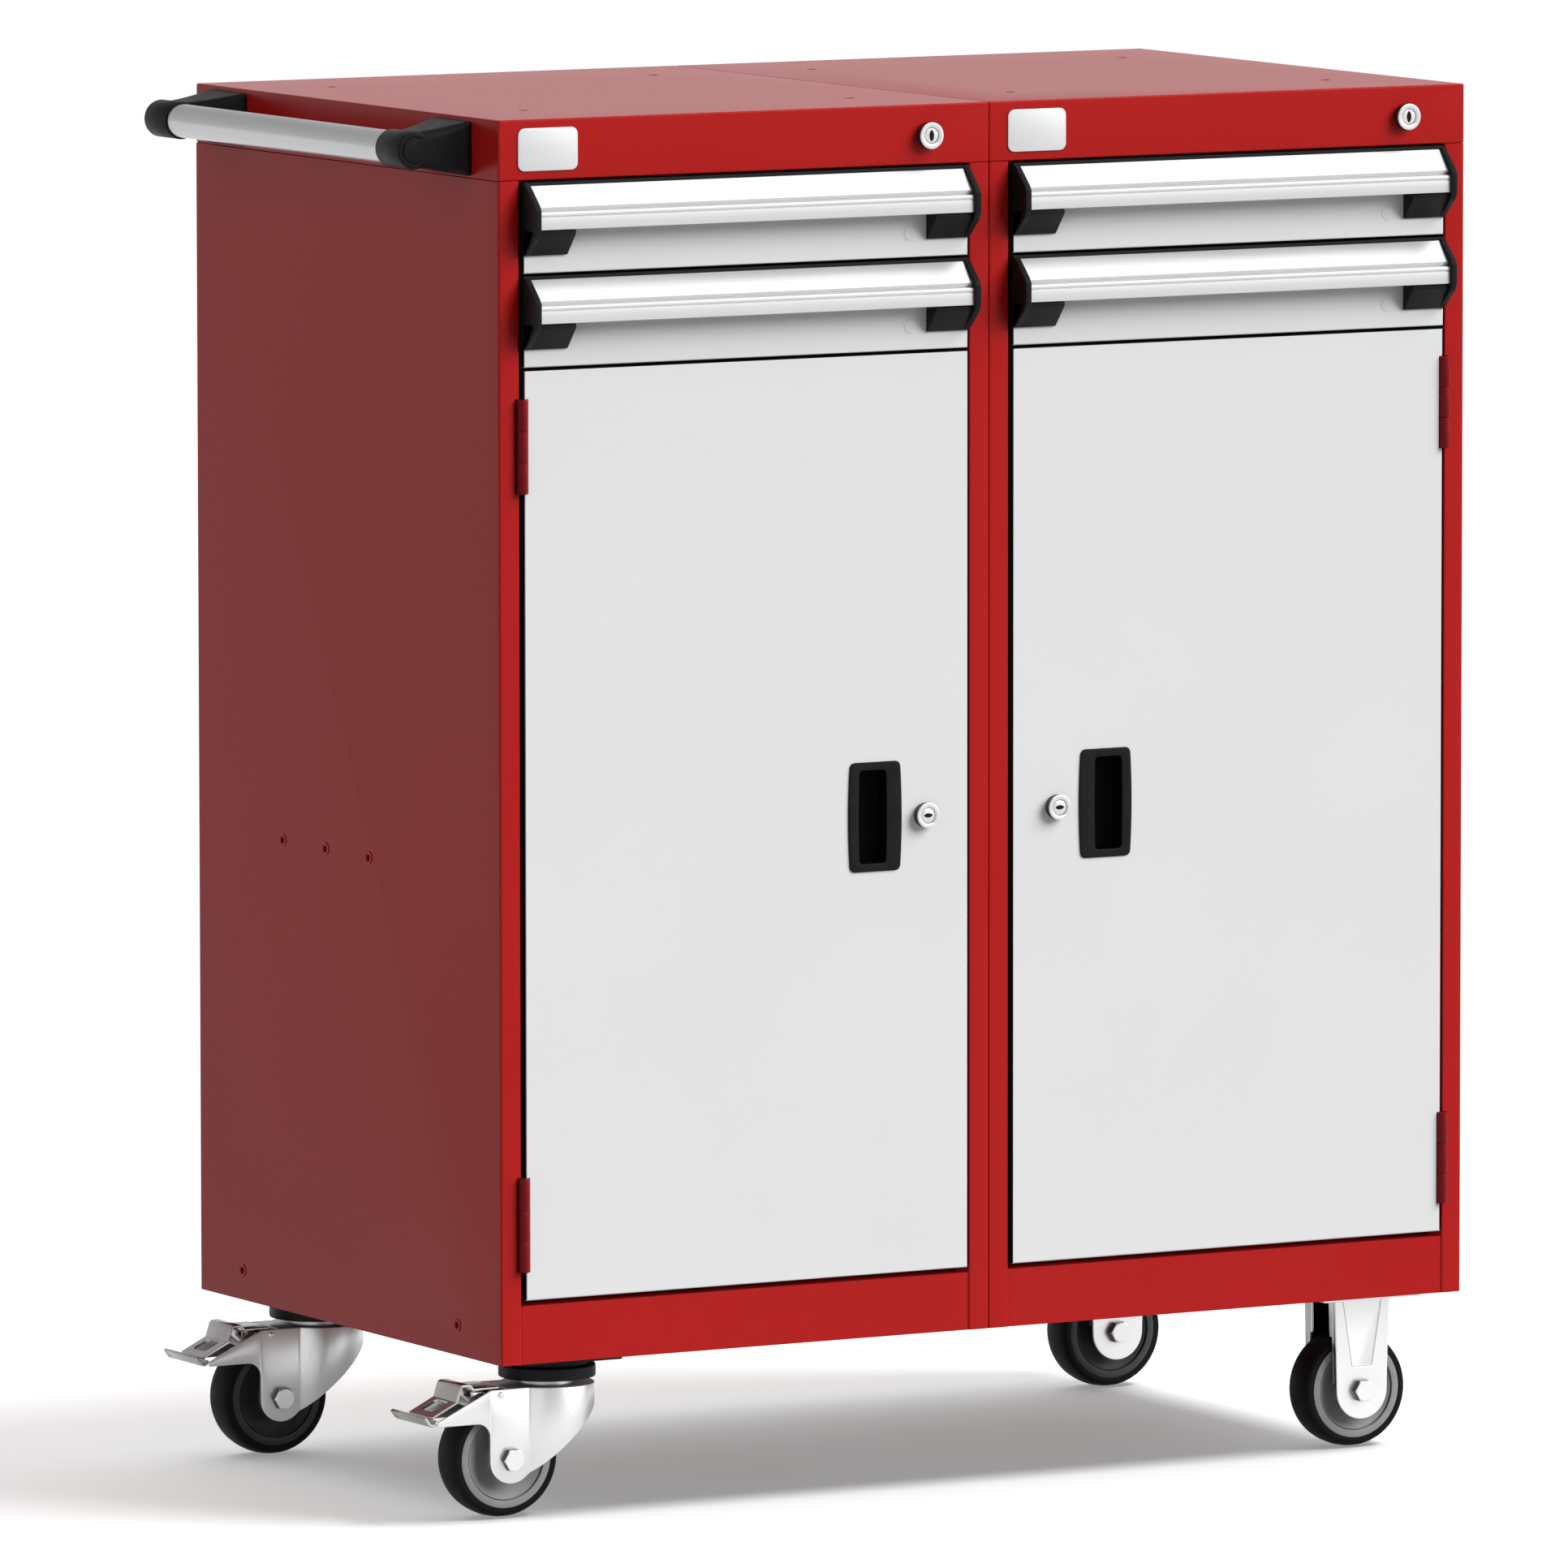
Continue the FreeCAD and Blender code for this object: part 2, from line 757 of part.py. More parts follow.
def door_panel():
    """Left door: a pan with returned edges, notched for its hinges, with their door halves."""
    outer = -half - front_width / 2
    inner = -half + front_width / 2
    back = face_y + door_depth
    pan = block(outer, inner, face_y, back, door_low, door_high)
    pan = rounded(pan, front_bend, lambda p: near(p.y, face_y))
    hollow = block(outer + sheet, inner - sheet, face_y + sheet, back - sheet,
                   door_low + sheet, door_high - sheet)
    window = block(outer + door_return, inner - door_return, back - 2, back + 1,
                   door_low + door_return, door_high - door_return)
    pan = less(pan, [hollow, window])
    middle = -half
    section = [(middle - stiffener_width / 2, face_y + sheet),
               (middle - stiffener_width / 2, face_y + stiffener_depth),
               (middle + stiffener_width / 2, face_y + stiffener_depth),
               (middle + stiffener_width / 2, face_y + sheet)]
    stiffener = prism_z(folded(section, -sheet), door_low + sheet, door_high - sheet)
    pan = joined([pan, stiffener])
    pull = pull_blank(door_pull_wall, face_y - 1, back - 2)
    lock_z = base_z + door_lock_z
    lock = rod(lock_barrel_radius + lock_hole_play, vec(-door_lock_x, face_y - 1, lock_z),
               vec(-door_lock_x, back + 1, lock_z))
    pan = less(pan, [pull, lock] + [hinge_notch_room(z) for z in hinge_starts()])
    halves = [door_hinge_half(z) for z in hinge_starts()]
    return joined([pan] + halves)


def hinge_starts():
    return door_low + hinge_end, door_high - hinge_end - hinge_length


def hinge_notch_room(z):
    reach = hinge_radius + hinge_notch
    return block(-half - hinge_x - reach, -half - hinge_x + reach, face_y - reach, face_y + reach,
                 z - hinge_notch, z + hinge_length + hinge_notch)


def knuckle_heights(z):
    third = hinge_length / 3
    return (z, z + third), (z + third, z + 2 * third), (z + 2 * third, z + hinge_length)


def door_hinge_half(z):
    """Middle knuckle with its leaf, which lies inside the door's edge."""
    axis_x = -half - hinge_x
    low, high = knuckle_heights(z)[1]
    low += hinge_knuckle_play
    high -= hinge_knuckle_play
    leaf_x = -half - front_width / 2 + sheet
    knuckle = rod(hinge_radius, vec(axis_x, face_y, low), vec(axis_x, face_y, high))
    leaf = block(leaf_x, leaf_x + hinge_leaf, face_y, face_y + hinge_leaf_depth - sheet, low, high)
    bore = rod(hinge_pin_radius + hinge_pin_play, vec(axis_x, face_y, z),
               vec(axis_x, face_y, z + hinge_length))
    return joined([knuckle, leaf]).cut(bore)


def frame_hinge_half(z):
    """Two knuckles on the post with the pin between them."""
    axis_x = -half - hinge_x
    leaf_x = -unit_width + post_width
    lower, middle, upper = knuckle_heights(z)
    pieces = [rod(hinge_pin_radius, vec(axis_x, face_y, z + hinge_pin_recess),
                  vec(axis_x, face_y, z + hinge_length - hinge_pin_recess))]
    for low, high in (lower, upper):
        pieces.append(rod(hinge_radius, vec(axis_x, face_y, low), vec(axis_x, face_y, high)))
        pieces.append(block(leaf_x, leaf_x + hinge_leaf, face_y, face_y + hinge_leaf_depth,
                            low, high))
    strip = hinge_radius + hinge_strip_gap
    pieces.append(block(leaf_x, leaf_x + hinge_leaf, face_y + strip, face_y + hinge_leaf_depth,
                        z, z + hinge_length))
    return joined(pieces)


def pull_blank(inset, y0, y1):
    """Outline of the door pull, bowed on its long sides, drawn out along Y."""
    x0 = -door_pull_x - door_pull_width / 2 + inset
    x1 = -door_pull_x + door_pull_width / 2 - inset
    z_mid = base_z + door_pull_z
    z0, z1 = z_mid - door_pull_height / 2 + inset, z_mid + door_pull_height / 2 - inset
    left = Part.Arc(vec(x0, y0, z1), vec(x0 - door_pull_belly, y0, z_mid), vec(x0, y0, z0)).toShape()
    right = Part.Arc(vec(x1, y0, z0), vec(x1 + door_pull_belly, y0, z_mid), vec(x1, y0, z1)).toShape()
    low = Part.makeLine(vec(x0, y0, z0), vec(x1, y0, z0))
    high = Part.makeLine(vec(x1, y0, z1), vec(x0, y0, z1))
    return Part.Face(Part.Wire([left, low, right, high])).extrude(vec(0, y1 - y0, 0))


def door_pull():
    """Recessed moulding: rim on the door face, cup through it, pocket undercut for fingers."""
    rim = pull_blank(0, face_y - door_pull_rim, face_y)
    rim = rounded(rim, rim_round, lambda p: near(p.y, face_y - door_pull_rim))
    cup = pull_blank(cup_inset, face_y, face_y + door_pull_depth)
    x0 = -door_pull_x - door_pull_width / 2 + pocket_near_rim
    x1 = -door_pull_x + door_pull_width / 2 - pocket_far_rim
    z0 = base_z + door_pull_z - pocket_height / 2
    z1 = z0 + pocket_height
    floor_y = face_y + door_pull_depth - pocket_floor
    mouth_y = face_y - 2 * door_pull_rim
    pocket = block(x0, x1, mouth_y, floor_y, z0, z1)
    pocket = rounded(pocket, pocket_round, lambda p: near(p.y, (mouth_y + floor_y) / 2))
    under = block(x1 - 1, x1 + pocket_undercut, face_y + pocket_round, floor_y,
                  z0 + pocket_round, z1 - pocket_round)
    return less(joined([rim, cup]), [pocket, under])


def lock_barrel(x, z, wall_y, radius, reach, length, gauge):
    """Stepped ring outside the sheet, threaded body through it and its bore."""
    ring = rod(radius, vec(x, wall_y - reach, z), vec(x, wall_y, z))
    ring = rounded(ring, cap_bend, lambda p: near(p.y, wall_y - reach))
    body = rod(lock_barrel_radius, vec(x, wall_y, z), vec(x, wall_y + length, z))
    nut = hexagon(lock_nut_flats, vec(x, wall_y + gauge, z), vec(0, 1, 0), lock_nut)
    bore = rod(lock_plug_radius + lock_plug_play, vec(x, wall_y - reach - 1, z),
               vec(x, wall_y + length + 1, z))
    return joined([ring, body, nut]).cut(bore)


def keyed_plug(x, z, wall_y, reach, end_y, upright):
    """Round plug with its key slot."""
    front = wall_y - reach + plug_recess
    plug = rod(lock_plug_radius, vec(x, front, z), vec(x, end_y, z))
    wide, tall = key_slot_width / 2, key_slot_height / 2
    if not upright:
        wide, tall = tall, wide
    return plug.cut(block(x - wide, x + wide, front - 1, front + key_slot_depth, z - tall, z + tall))


def cam_plane():
    return front_y + post_depth + cam_play


def door_lock_plug():
    """Plug and cam of the left door: the cam hangs down while the door is free."""
    z = base_z + door_lock_z
    cam_y = cam_plane()
    plug = keyed_plug(-door_lock_x, z, face_y, door_lock_reach, cam_y + cam_thickness, False)
    cam = joined([
        rod(cam_width / 2, vec(-door_lock_x, cam_y, z), vec(-door_lock_x, cam_y + cam_thickness, z)),
        block(-door_lock_x - cam_width / 2, -door_lock_x + cam_width / 2, cam_y,
              cam_y + cam_thickness, z - cam_length, z),
    ])
    return joined([plug, cam])


def bar_top_y():
    return front_y + post_depth + bar_play


def cap_lock_plug(centre):
    """Plug with a crank plate whose pin works in the slot of the lock bar."""
    x = centre + half - cap_lock_x
    z = base_z + cap_lock_z
    bar_y = bar_top_y()
    back = bar_y - bar_play
    plug = keyed_plug(x, z, front_y, cap_lock_reach, back, True)
    corner = crank_arm * math.cos(math.radians(45))
    pin_x, pin_z = x + corner, z + corner
    crank = rod(crank_arm + crank_pin_radius, vec(x, back - crank_plate, z), vec(x, back, z))
    pin = rod(crank_pin_radius, vec(pin_x, back - crank_plate, pin_z),
              vec(pin_x, bar_y + bar_thickness + 0.5, pin_z))
    return joined([plug, crank, pin])


def lock_bar(centre):
    """Flat bar behind the post, with a slotted arm and two tabs for the catches, face to face."""
    wall = centre + half
    near_x, far_x = wall - bar_inset, wall - bar_inset - bar_width
    y0 = bar_top_y()
    y1 = y0 + bar_thickness
    lock_x = wall - cap_lock_x
    pin_rest_z = base_z + cap_lock_z + crank_arm * math.sin(math.radians(45))
    arm_low, arm_high = pin_rest_z - bar_arm / 2, pin_rest_z + bar_arm / 2
    strip = block(far_x, near_x, y0, y1, door_high + bar_foot, arm_high)
    arm = block(lock_x - crank_pin_radius, far_x, y0, y1, arm_low, arm_high)
    slot_half = crank_pin_radius + crank_slot_play
    slot = block(lock_x + crank_arm / 2 - slot_half, lock_x + crank_arm + slot_half, y0 - 1, y1 + 1,
                 pin_rest_z - slot_half, pin_rest_z + slot_half)
    tabs = [block(far_x - tab_length, far_x, y0, y1, floor_z + tab_rest, floor_z + tab_rest + tab_height)
            for floor_z in drawer_floors.values()]
    return [strip, arm.cut(slot)] + tabs


def badge_plate(centre):
    """Plain plate with rounded corners on the cap front."""
    x = centre - half + badge_inset
    z = base_z + badge_z
    plate = block(x - badge_width / 2, x + badge_width / 2, front_y - badge_thickness, front_y,
                  z - badge_height / 2, z + badge_height / 2)
    return rounded(plate, badge_corner, lambda p: near(p.y, front_y - badge_thickness / 2))


def handle_tube():
    x = -unit_width - handle_reach
    z = base_z + handle_z
    reach = handle_sleeve_outer - handle_end_wall
    low, high = handle_y - reach, handle_y + reach
    outer = rod(handle_radius, vec(x, low, z), vec(x, high, z))
    return outer.cut(rod(handle_radius - handle_tube_wall, vec(x, low - 1, z), vec(x, high + 1, z)))


def handle_bracket(side):
    """Moulded bracket: long foot on the cabinet side, tapering neck and closed sleeve for the tube."""
    x = -unit_width - handle_reach
    z = base_z + handle_z
    sections = [
        (-unit_width, handle_foot_inner, handle_foot_outer, handle_foot_height),
        (-unit_width - handle_foot, handle_foot_inner + 1, handle_foot_outer - 1, handle_foot_height - 1),
        (x, handle_sleeve_inner, handle_sleeve_outer, handle_neck_height),
    ]
    wires = []
    for wall_x, y0, y1, height in sections:
        low, high = z - height / 2, z + height / 2
        corners = [vec(wall_x, y0, low), vec(wall_x, y1, low), vec(wall_x, y1, high), vec(wall_x, y0, high)]
        wires.append(Part.makePolygon(corners + [corners[0]]))
    neck = Part.makeLoft(wires, True, True)
    y0, y1 = handle_sleeve_inner, handle_sleeve_outer
    sleeve = rod(handle_sleeve_radius, vec(x, y0, z), vec(x, y1, z))
    sleeve = rounded(sleeve, handle_sleeve_radius - handle_radius, lambda p: near(p.y, y1))
    bore = rod(handle_radius, vec(x, handle_foot_inner, z), vec(x, y1 - handle_end_wall, z))
    bracket = joined([neck, sleeve]).cut(bore)
    if side < 0:
        bracket = bracket.mirror(vec(0, 0, 0), vec(0, 1, 0))
    return moved(bracket, 0, handle_y, 0)


def hex_bolt(x, y, z_head, length):
    """Bolt with its head up on z_head and its shank pointing down."""
    head = hexagon(bolt_head_flats, vec(x, y, z_head), vec(0, 0, 1), bolt_head)
    return joined([head, rod(bolt_radius, vec(x, y, z_head - length), vec(x, y, z_head))])


def join_bolt(y, z):
    """Bolt through the two inner sides, with its nut."""
    head = hexagon(bolt_head_flats, vec(sheet, y, z), vec(1, 0, 0), bolt_head)
    nut = hexagon(bolt_head_flats, vec(-sheet, y, z), vec(-1, 0, 0), bolt_head)
    return joined([head, nut, rod(bolt_radius, vec(-sheet - bolt_head, y, z), vec(sheet, y, z))])


def join_places():
    return [(side * (back_y - join_bolt_inset), z)
            for side in (-1, 1) for z in (base_z + join_bolt_rise, joint_z - join_bolt_drop)]


def join_holes():
    return [rod(bolt_radius + bolt_play, vec(-5, y, z), vec(5, y, z)) for y, z in join_places()]


def swivel_x():
    return swivel_axle_x + swivel_offset


def swivel_plate(y):
    """Top plate, upper race and kingpin with its riveted head."""
    x = swivel_x()
    low = base_z - plate_thickness
    plate = block(x - plate_length / 2, x + plate_length / 2, y - plate_width / 2, y + plate_width / 2,
                  low, base_z)
    flange = rod(upper_race_radius, vec(x, y, cover_high), vec(x, y, low))
    race = rod(race_radius, vec(x, y, cover_low), vec(x, y, cover_high))
    crown_low = crown_z - leg_sheet
    pin = rod(kingpin_radius, vec(x, y, crown_low - race_play - kingpin_head), vec(x, y, cover_low))
    head = rod(kingpin_head_radius, vec(x, y, crown_low - race_play - kingpin_head),
               vec(x, y, crown_low - race_play))
    return joined([plate, flange, race, pin, head])


def caster_cover(y):
    """Black ring round the race, under the upper race's flange."""
    x = swivel_x()
    ring = rod(cover_radius, vec(x, y, cover_low), vec(x, y, cover_high))
    return ring.cut(rod(race_radius, vec(x, y, cover_low - 1), vec(x, y, cover_high + 1)))


def fork_side(high, reach):
    """Side outline of the swivel fork: nose over the tyre, arch, round foot and rising heel."""
    foot = fork_foot_radius
    heel = math.radians(fork_heel_angle)
    heel_u, heel_w = foot * math.sin(heel), -foot * math.cos(heel)
    heel_end = heel_u + (fork_bow_w - heel_w) / math.tan(heel)
    shoulder_u = fork_nose_u + (high - fork_nose_high) / math.tan(math.radians(fork_nose_angle))
    arch_u, arch_w = fork_leg_u - fork_arch_radius, fork_nose_low - fork_arch_radius
    diagonal = fork_arch_radius * math.cos(math.radians(45))
    foot_w = -math.sqrt(foot ** 2 - fork_leg_u ** 2)
    places = [
        (fork_leg_u, foot_w),
        (fork_leg_u, arch_w),
        (arch_u, fork_nose_low),
        (fork_nose_u, fork_nose_low),
        (fork_nose_u, fork_nose_high),
        (shoulder_u, high),
        (reach, high),
        (reach, fork_bow_w),
        (heel_end, fork_bow_w),
        (heel_u, heel_w),
    ]
    return outlined(places, {1: (arch_u + diagonal, arch_w + diagonal), 9: (0, -foot)})


def swivel_fork(y):
    """Pressed fork: flat legs that widen into a round bow about the kingpin, and a crown."""
    top = crown_z - axle_z
    low = -fork_foot_radius - 1
    inner = leg_outer - leg_sheet
    middle = swivel_offset
    reach = fork_bow_radius + 1
    legs = block(fork_nose_u, middle, -leg_outer, leg_outer, low, top)
    legs = legs.fuse(rod(fork_bow_radius, vec(middle, 0, low), vec(middle, 0, top)))
    room = block(fork_nose_u - 1, middle, -inner, inner, low - 1, top - leg_sheet)
    room = room.fuse(rod(fork_bow_radius - leg_sheet, vec(middle, 0, low - 1),
                         vec(middle, 0, top - leg_sheet)))
    open_front = block(fork_nose_u - 1, crown_start_u, -inner, inner, low - 1, top + 1)
    shell = less(legs, [room, open_front])
    side = Part.Face(fork_side(top + 1, middle + reach))
    side.translate(vec(0, -reach, 0))
    fork = shell.common(side.extrude(vec(0, 2 * reach, 0)))
    neck = rod(neck_radius, vec(middle, 0, top), vec(middle, 0, cover_low - axle_z - race_play))
    fork = joined([fork, neck])
    holes = [rod(kingpin_radius + axle_play, vec(middle, 0, 0), vec(middle, 0, base_z - axle_z)),
             rod(axle_radius + axle_play, vec(0, -reach, 0), vec(0, reach, 0)),
             rod(pedal_pin_radius + pedal_pin_play, vec(pedal_pivot_u, -reach, pedal_pivot_w),
                 vec(pedal_pivot_u, reach, pedal_pivot_w))]
    return moved(less(fork, holes), swivel_axle_x, y, axle_z)


def axle_bolt(x, y):
    out = leg_outer
    heads = [hexagon(axle_head_flats, vec(x, y + s * out, axle_z), vec(0, s, 0), axle_head)
             for s in (-1, 1)]
    return joined([rod(axle_radius, vec(x, y - out, axle_z), vec(x, y + out, axle_z))] + heads)


def pedal_pin(y):
    x = swivel_axle_x + pedal_pivot_u
    z = axle_z + pedal_pivot_w
    out = leg_outer + pedal_pin_stub
    return rod(pedal_pin_radius, vec(x, y - out, z), vec(x, y + out, z))


def fixed_fork(y):
    """Rigid fork: top plate and two tapering legs with turned-in edges and a pressed panel."""
    x = fixed_axle_x
    plate = block(x - plate_length / 2, x + plate_length / 2, y - plate_width / 2, y + plate_width / 2,
                  base_z - plate_thickness, base_z)
    top, axle = fixed_leg_top / 2, fixed_leg_axle / 2
    high = base_z - plate_thickness
    taper = [(x - top, high), (x + top, high), (x + axle, axle_z), (x - axle, axle_z)]
    pieces = [plate]
    for s in (-1, 1):
        outer, inner = y + s * leg_outer, y + s * (leg_outer - leg_sheet)
        leg = joined([prism_y(taper, inner, outer),
                      rod(axle, vec(x, inner, axle_z), vec(x, outer, axle_z))])
        wide = top - emboss_inset
        emboss_low = axle_z + emboss_low_w
        emboss = prism_y([(x - wide, high), (x + wide, high), (x + emboss_low_half, emboss_low),
                          (x - emboss_low_half, emboss_low)], outer, outer - s * emboss_depth)
        pieces.append(leg.cut(emboss))
        rim_low = base_z - fixed_flange_drop
        for side in (-1, 1):
            rim = [(x + side * top, high), (x + side * (top - leg_sheet), high),
                   (x + side * (axle - leg_sheet), rim_low), (x + side * axle, rim_low)]
            near_y, far_y = inner - s * fixed_leg_flange, inner
            pieces.append(prism_y(rim, near_y, far_y).cut(wheel_room(x, y)))
    fork = joined(pieces)
    holes = [rod(axle_radius + axle_play, vec(x, y - plate_width / 2, axle_z),
                 vec(x, y + plate_width / 2, axle_z))]
    holes += [rod(bolt_radius + bolt_play, vec(i, j, high - 1), vec(i, j, base_z + 1))
              for i, j in bolt_places(fixed_axle_x)]
    return less(fork, holes)


def wheel_room(x, y):
    clear = 2.0
    reach = wheel_width / 2 + clear
    return rod(wheel_radius + clear, vec(x, y - reach, axle_z), vec(x, y + reach, axle_z))


def tyre(x, y):
    """Crowned tread bonded on the wheel's core."""
    w = wheel_width / 2
    start = vec(0, -w, hub_radius)
    profile = [Part.makeLine(start, vec(0, -w, wheel_radius - wheel_crown)),
               Part.Arc(vec(0, -w, wheel_radius - wheel_crown), vec(0, 0, wheel_radius),
                        vec(0, w, wheel_radius - wheel_crown)).toShape(),
               Part.makeLine(vec(0, w, wheel_radius - wheel_crown), vec(0, w, hub_radius)),
               Part.makeLine(vec(0, w, hub_radius), start)]
    ring = Part.Face(Part.Wire(profile)).revolve(vec(0, 0, 0), vec(0, 1, 0), 360)
    return moved(ring, x, y, axle_z)


def wheel_core(x, y):
    """Dished core with a rim, a web and a bored boss."""
    w = wheel_width / 2
    boss = hub_length / 2
    rim = hub_radius - hub_rim
    bore = axle_radius + axle_play
    half_profile = [(bore, boss), (hub_boss_radius - 2, boss), (hub_boss_radius, w - hub_dish),
                    (rim, w - hub_step), (rim, w), (hub_radius, w)]
    points = half_profile + [(r, -across) for r, across in half_profile[::-1]]
    ring = face_of([vec(0, across, r) for r, across in points])
    core = ring.revolve(vec(0, 0, 0), vec(0, 1, 0), 360)
    return moved(core, x, y, axle_z)


def brake_pedal(y):
    """Barrel with a level arm, sloping pad with a window, wide turned-up lip and brake shoe."""
    pad_half, lip_half = pedal_pad_width / 2, pedal_lip_width / 2
    pivot = vec(pedal_pivot_u, 0, pedal_pivot_w)
    across = vec(0, pad_half, 0)
    curl = (pedal_curl_u + pedal_curl[0], pedal_arm_w + pedal_curl[1])
    arm_line = [curl, (pedal_curl_u, pedal_arm_w), (pedal_pivot_u, pedal_arm_w)]
    arm = prism_y(folded(arm_line, pedal_sheet), -pad_half, pad_half)
    arm = joined([arm, rod(pedal_barrel_radius, pivot - across, pivot + across)])
    arm = arm.cut(rod(pedal_pin_radius + pedal_pin_play, pivot - across, pivot + across))
    fall = (pedal_pad_start_u - pedal_pad_end_u) * math.tan(math.radians(pedal_pad_angle))
    pad_end = (pedal_pad_end_u, pedal_arm_w - fall)
    pad_line = [(pedal_lip_u, pedal_lip_w), pad_end, (pedal_pad_start_u, pedal_arm_w)]
    pad = prism_y(folded(pad_line, pedal_sheet), -pad_half, pad_half)
    lip_line = [pedal_tip, pedal_rise, pedal_toe, (pedal_lip_u, pedal_lip_w)]
    lip = prism_y(folded(lip_line, pedal_sheet), -lip_half, lip_half)
    window = block(pedal_window_from, pedal_window_to, -pedal_window_width / 2,
                   pedal_window_width / 2, 0, pedal_arm_w)
    pad = less(pad, [arm, lip, window])
    shoe = block(shoe_from_u, shoe_to_u, -shoe_width / 2, shoe_width / 2, 0, pedal_arm_w)
    shoe = less(shoe, [pad, rod(shoe_radius, vec(0, -shoe_width, 0), vec(0, shoe_width, 0))])
    return [moved(piece, swivel_axle_x, y, axle_z) for piece in (arm, pad, lip, shoe)]


def make_housings():
    holes = join_holes()
    save("left_outer_side", outer_left_panel())
    save("left_inner_side", drilled(side_panel(0, -1, bar_side=True), holes))
    save("right_inner_side", drilled(side_panel(0, 1), holes))
    save("right_outer_side", side_panel(unit_width, -1, bar_side=True, hinge_side=True))
    save("left_base_pan", [base_pan(left_centre, swivel_x())])
    save("right_base_pan", [base_pan(right_centre, fixed_axle_x)])
    save("back_panels", [back_panel(c) for c in housings.values()])
    for side, centre in housings.items():
        save(side + "_top_cap", [top_cap(centre)])
    save("divider_shelves", [divider_shelf(c) for c in housings.values()])
    save("storage_shelves", [storage_shelf(c) for c in housings.values()])
    uprights = [slotted_upright(c - s * (half - sheet), s, y0, y1)
                for c in housings.values() for s in (-1, 1) for y0, y1 in standard_rows()]
    save("slotted_uprights", uprights)
    runners = [cabinet_runner(c - s * (half - post_width), s, floor_z)
               for c in housings.values() for floor_z in drawer_floors.values() for s in (-1, 1)]
    save("cabinet_runners", runners)
    save("badge_plates", [badge_plate(c) for c in housings.values()])
    save("rivet_nuts", [rivet_nut(y, z) for y, z in rivet_places()])


def make_drawers():
    for side, centre in housings.items():
        for level, floor_z in drawer_floors.items():
            name = side + "_" + level + "_drawer"
            save(name + "_body", drawer_body(centre, floor_z))
            save(name + "_pull", [drawer_pull(centre, floor_z)])
            save(name + "_pull_ends", pull_ends(centre, floor_z))
            save(name + "_carriages", [drawer_carriage(centre - s * (half - post_width), s, floor_z)
                                       for s in (-1, 1)])


def make_doors():
    door, pull, plug = door_panel(), door_pull(), door_lock_plug()
    barrel = lock_barrel(-door_lock_x, base_z + door_lock_z, face_y, door_lock_radius,
                         door_lock_reach, cam_plane() - face_y - 0.5, sheet)
    for side, turn in (("left", lambda s: s), ("right", mirrored)):
        save(side + "_door", [turn(door)])
        save(side + "_door_pull", [turn(pull)])
        save(side + "_door_lock_barrel", [turn(barrel)])
        save(side + "_door_lock_plug", [turn(plug)])
    halves = [frame_hinge_half(z) for z in hinge_starts()]
    save("hinge_frame_halves", halves + [mirrored(h) for h in halves])


def make_cap_locks():
    barrels = []
    for side, centre in housings.items():
        back = bar_top_y() - bar_play - crank_plate - 0.3
        barrels.append(lock_barrel(centre + half - cap_lock_x, base_z + cap_lock_z, front_y,
                                   cap_lock_radius, cap_lock_reach, back - front_y, sheet))
        save(side + "_cap_lock_plug", [cap_lock_plug(centre)])
        save(side + "_lock_bar", lock_bar(centre))
    save("cap_lock_barrels", barrels)


def make_handle():
    save("push_handle_tube", [handle_tube()])
    save("handle_brackets", [handle_bracket(-1), handle_bracket(1)])


def make_casters():
    rows = {"front": -caster_y, "rear": caster_y}
    shank = channel_plate + plate_thickness
    bolts = [hex_bolt(x, y, base_z + channel_plate, shank)
             for caster_x in (swivel_x(), fixed_axle_x) for x, y in bolt_places(caster_x)]
    bolts += [join_bolt(y, z) for y, z in join_places()]
    save("hex_bolts", bolts)
    through = [rod(bolt_radius + bolt_play, vec(x, y, base_z - plate_thickness - 1), vec(x, y, base_z + 1))
               for x, y in bolt_places(swivel_x())]
    save("swivel_caster_plates", [less(swivel_plate(y), through) for y in rows.values()])
    save("caster_covers", [caster_cover(y) for y in rows.values()])
    save("fixed_caster_forks", [fixed_fork(y) for y in rows.values()]
         + [axle_bolt(fixed_axle_x, y) for y in rows.values()])
    for row, y in rows.items():
        save(row + "_swivel_fork", [swivel_fork(y), axle_bolt(swivel_axle_x, y), pedal_pin(y)])
        save(row + "_brake_pedal", brake_pedal(y))
        save(row + "_left_wheel", [tyre(swivel_axle_x, y), wheel_core(swivel_axle_x, y)])
        save(row + "_right_wheel", [tyre(fixed_axle_x, y), wheel_core(fixed_axle_x, y)])


os.makedirs("parts", exist_ok=True)
make_housings()
make_drawers()
make_doors()
make_cap_locks()
make_handle()
make_casters()
print("lock bar drop", round(bar_drop, 3), "origin", round(origin_x, 3), round(origin_y, 3))
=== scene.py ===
import json
import math
import bmesh
import bpy
import numpy as np
from mathutils import Matrix, Vector


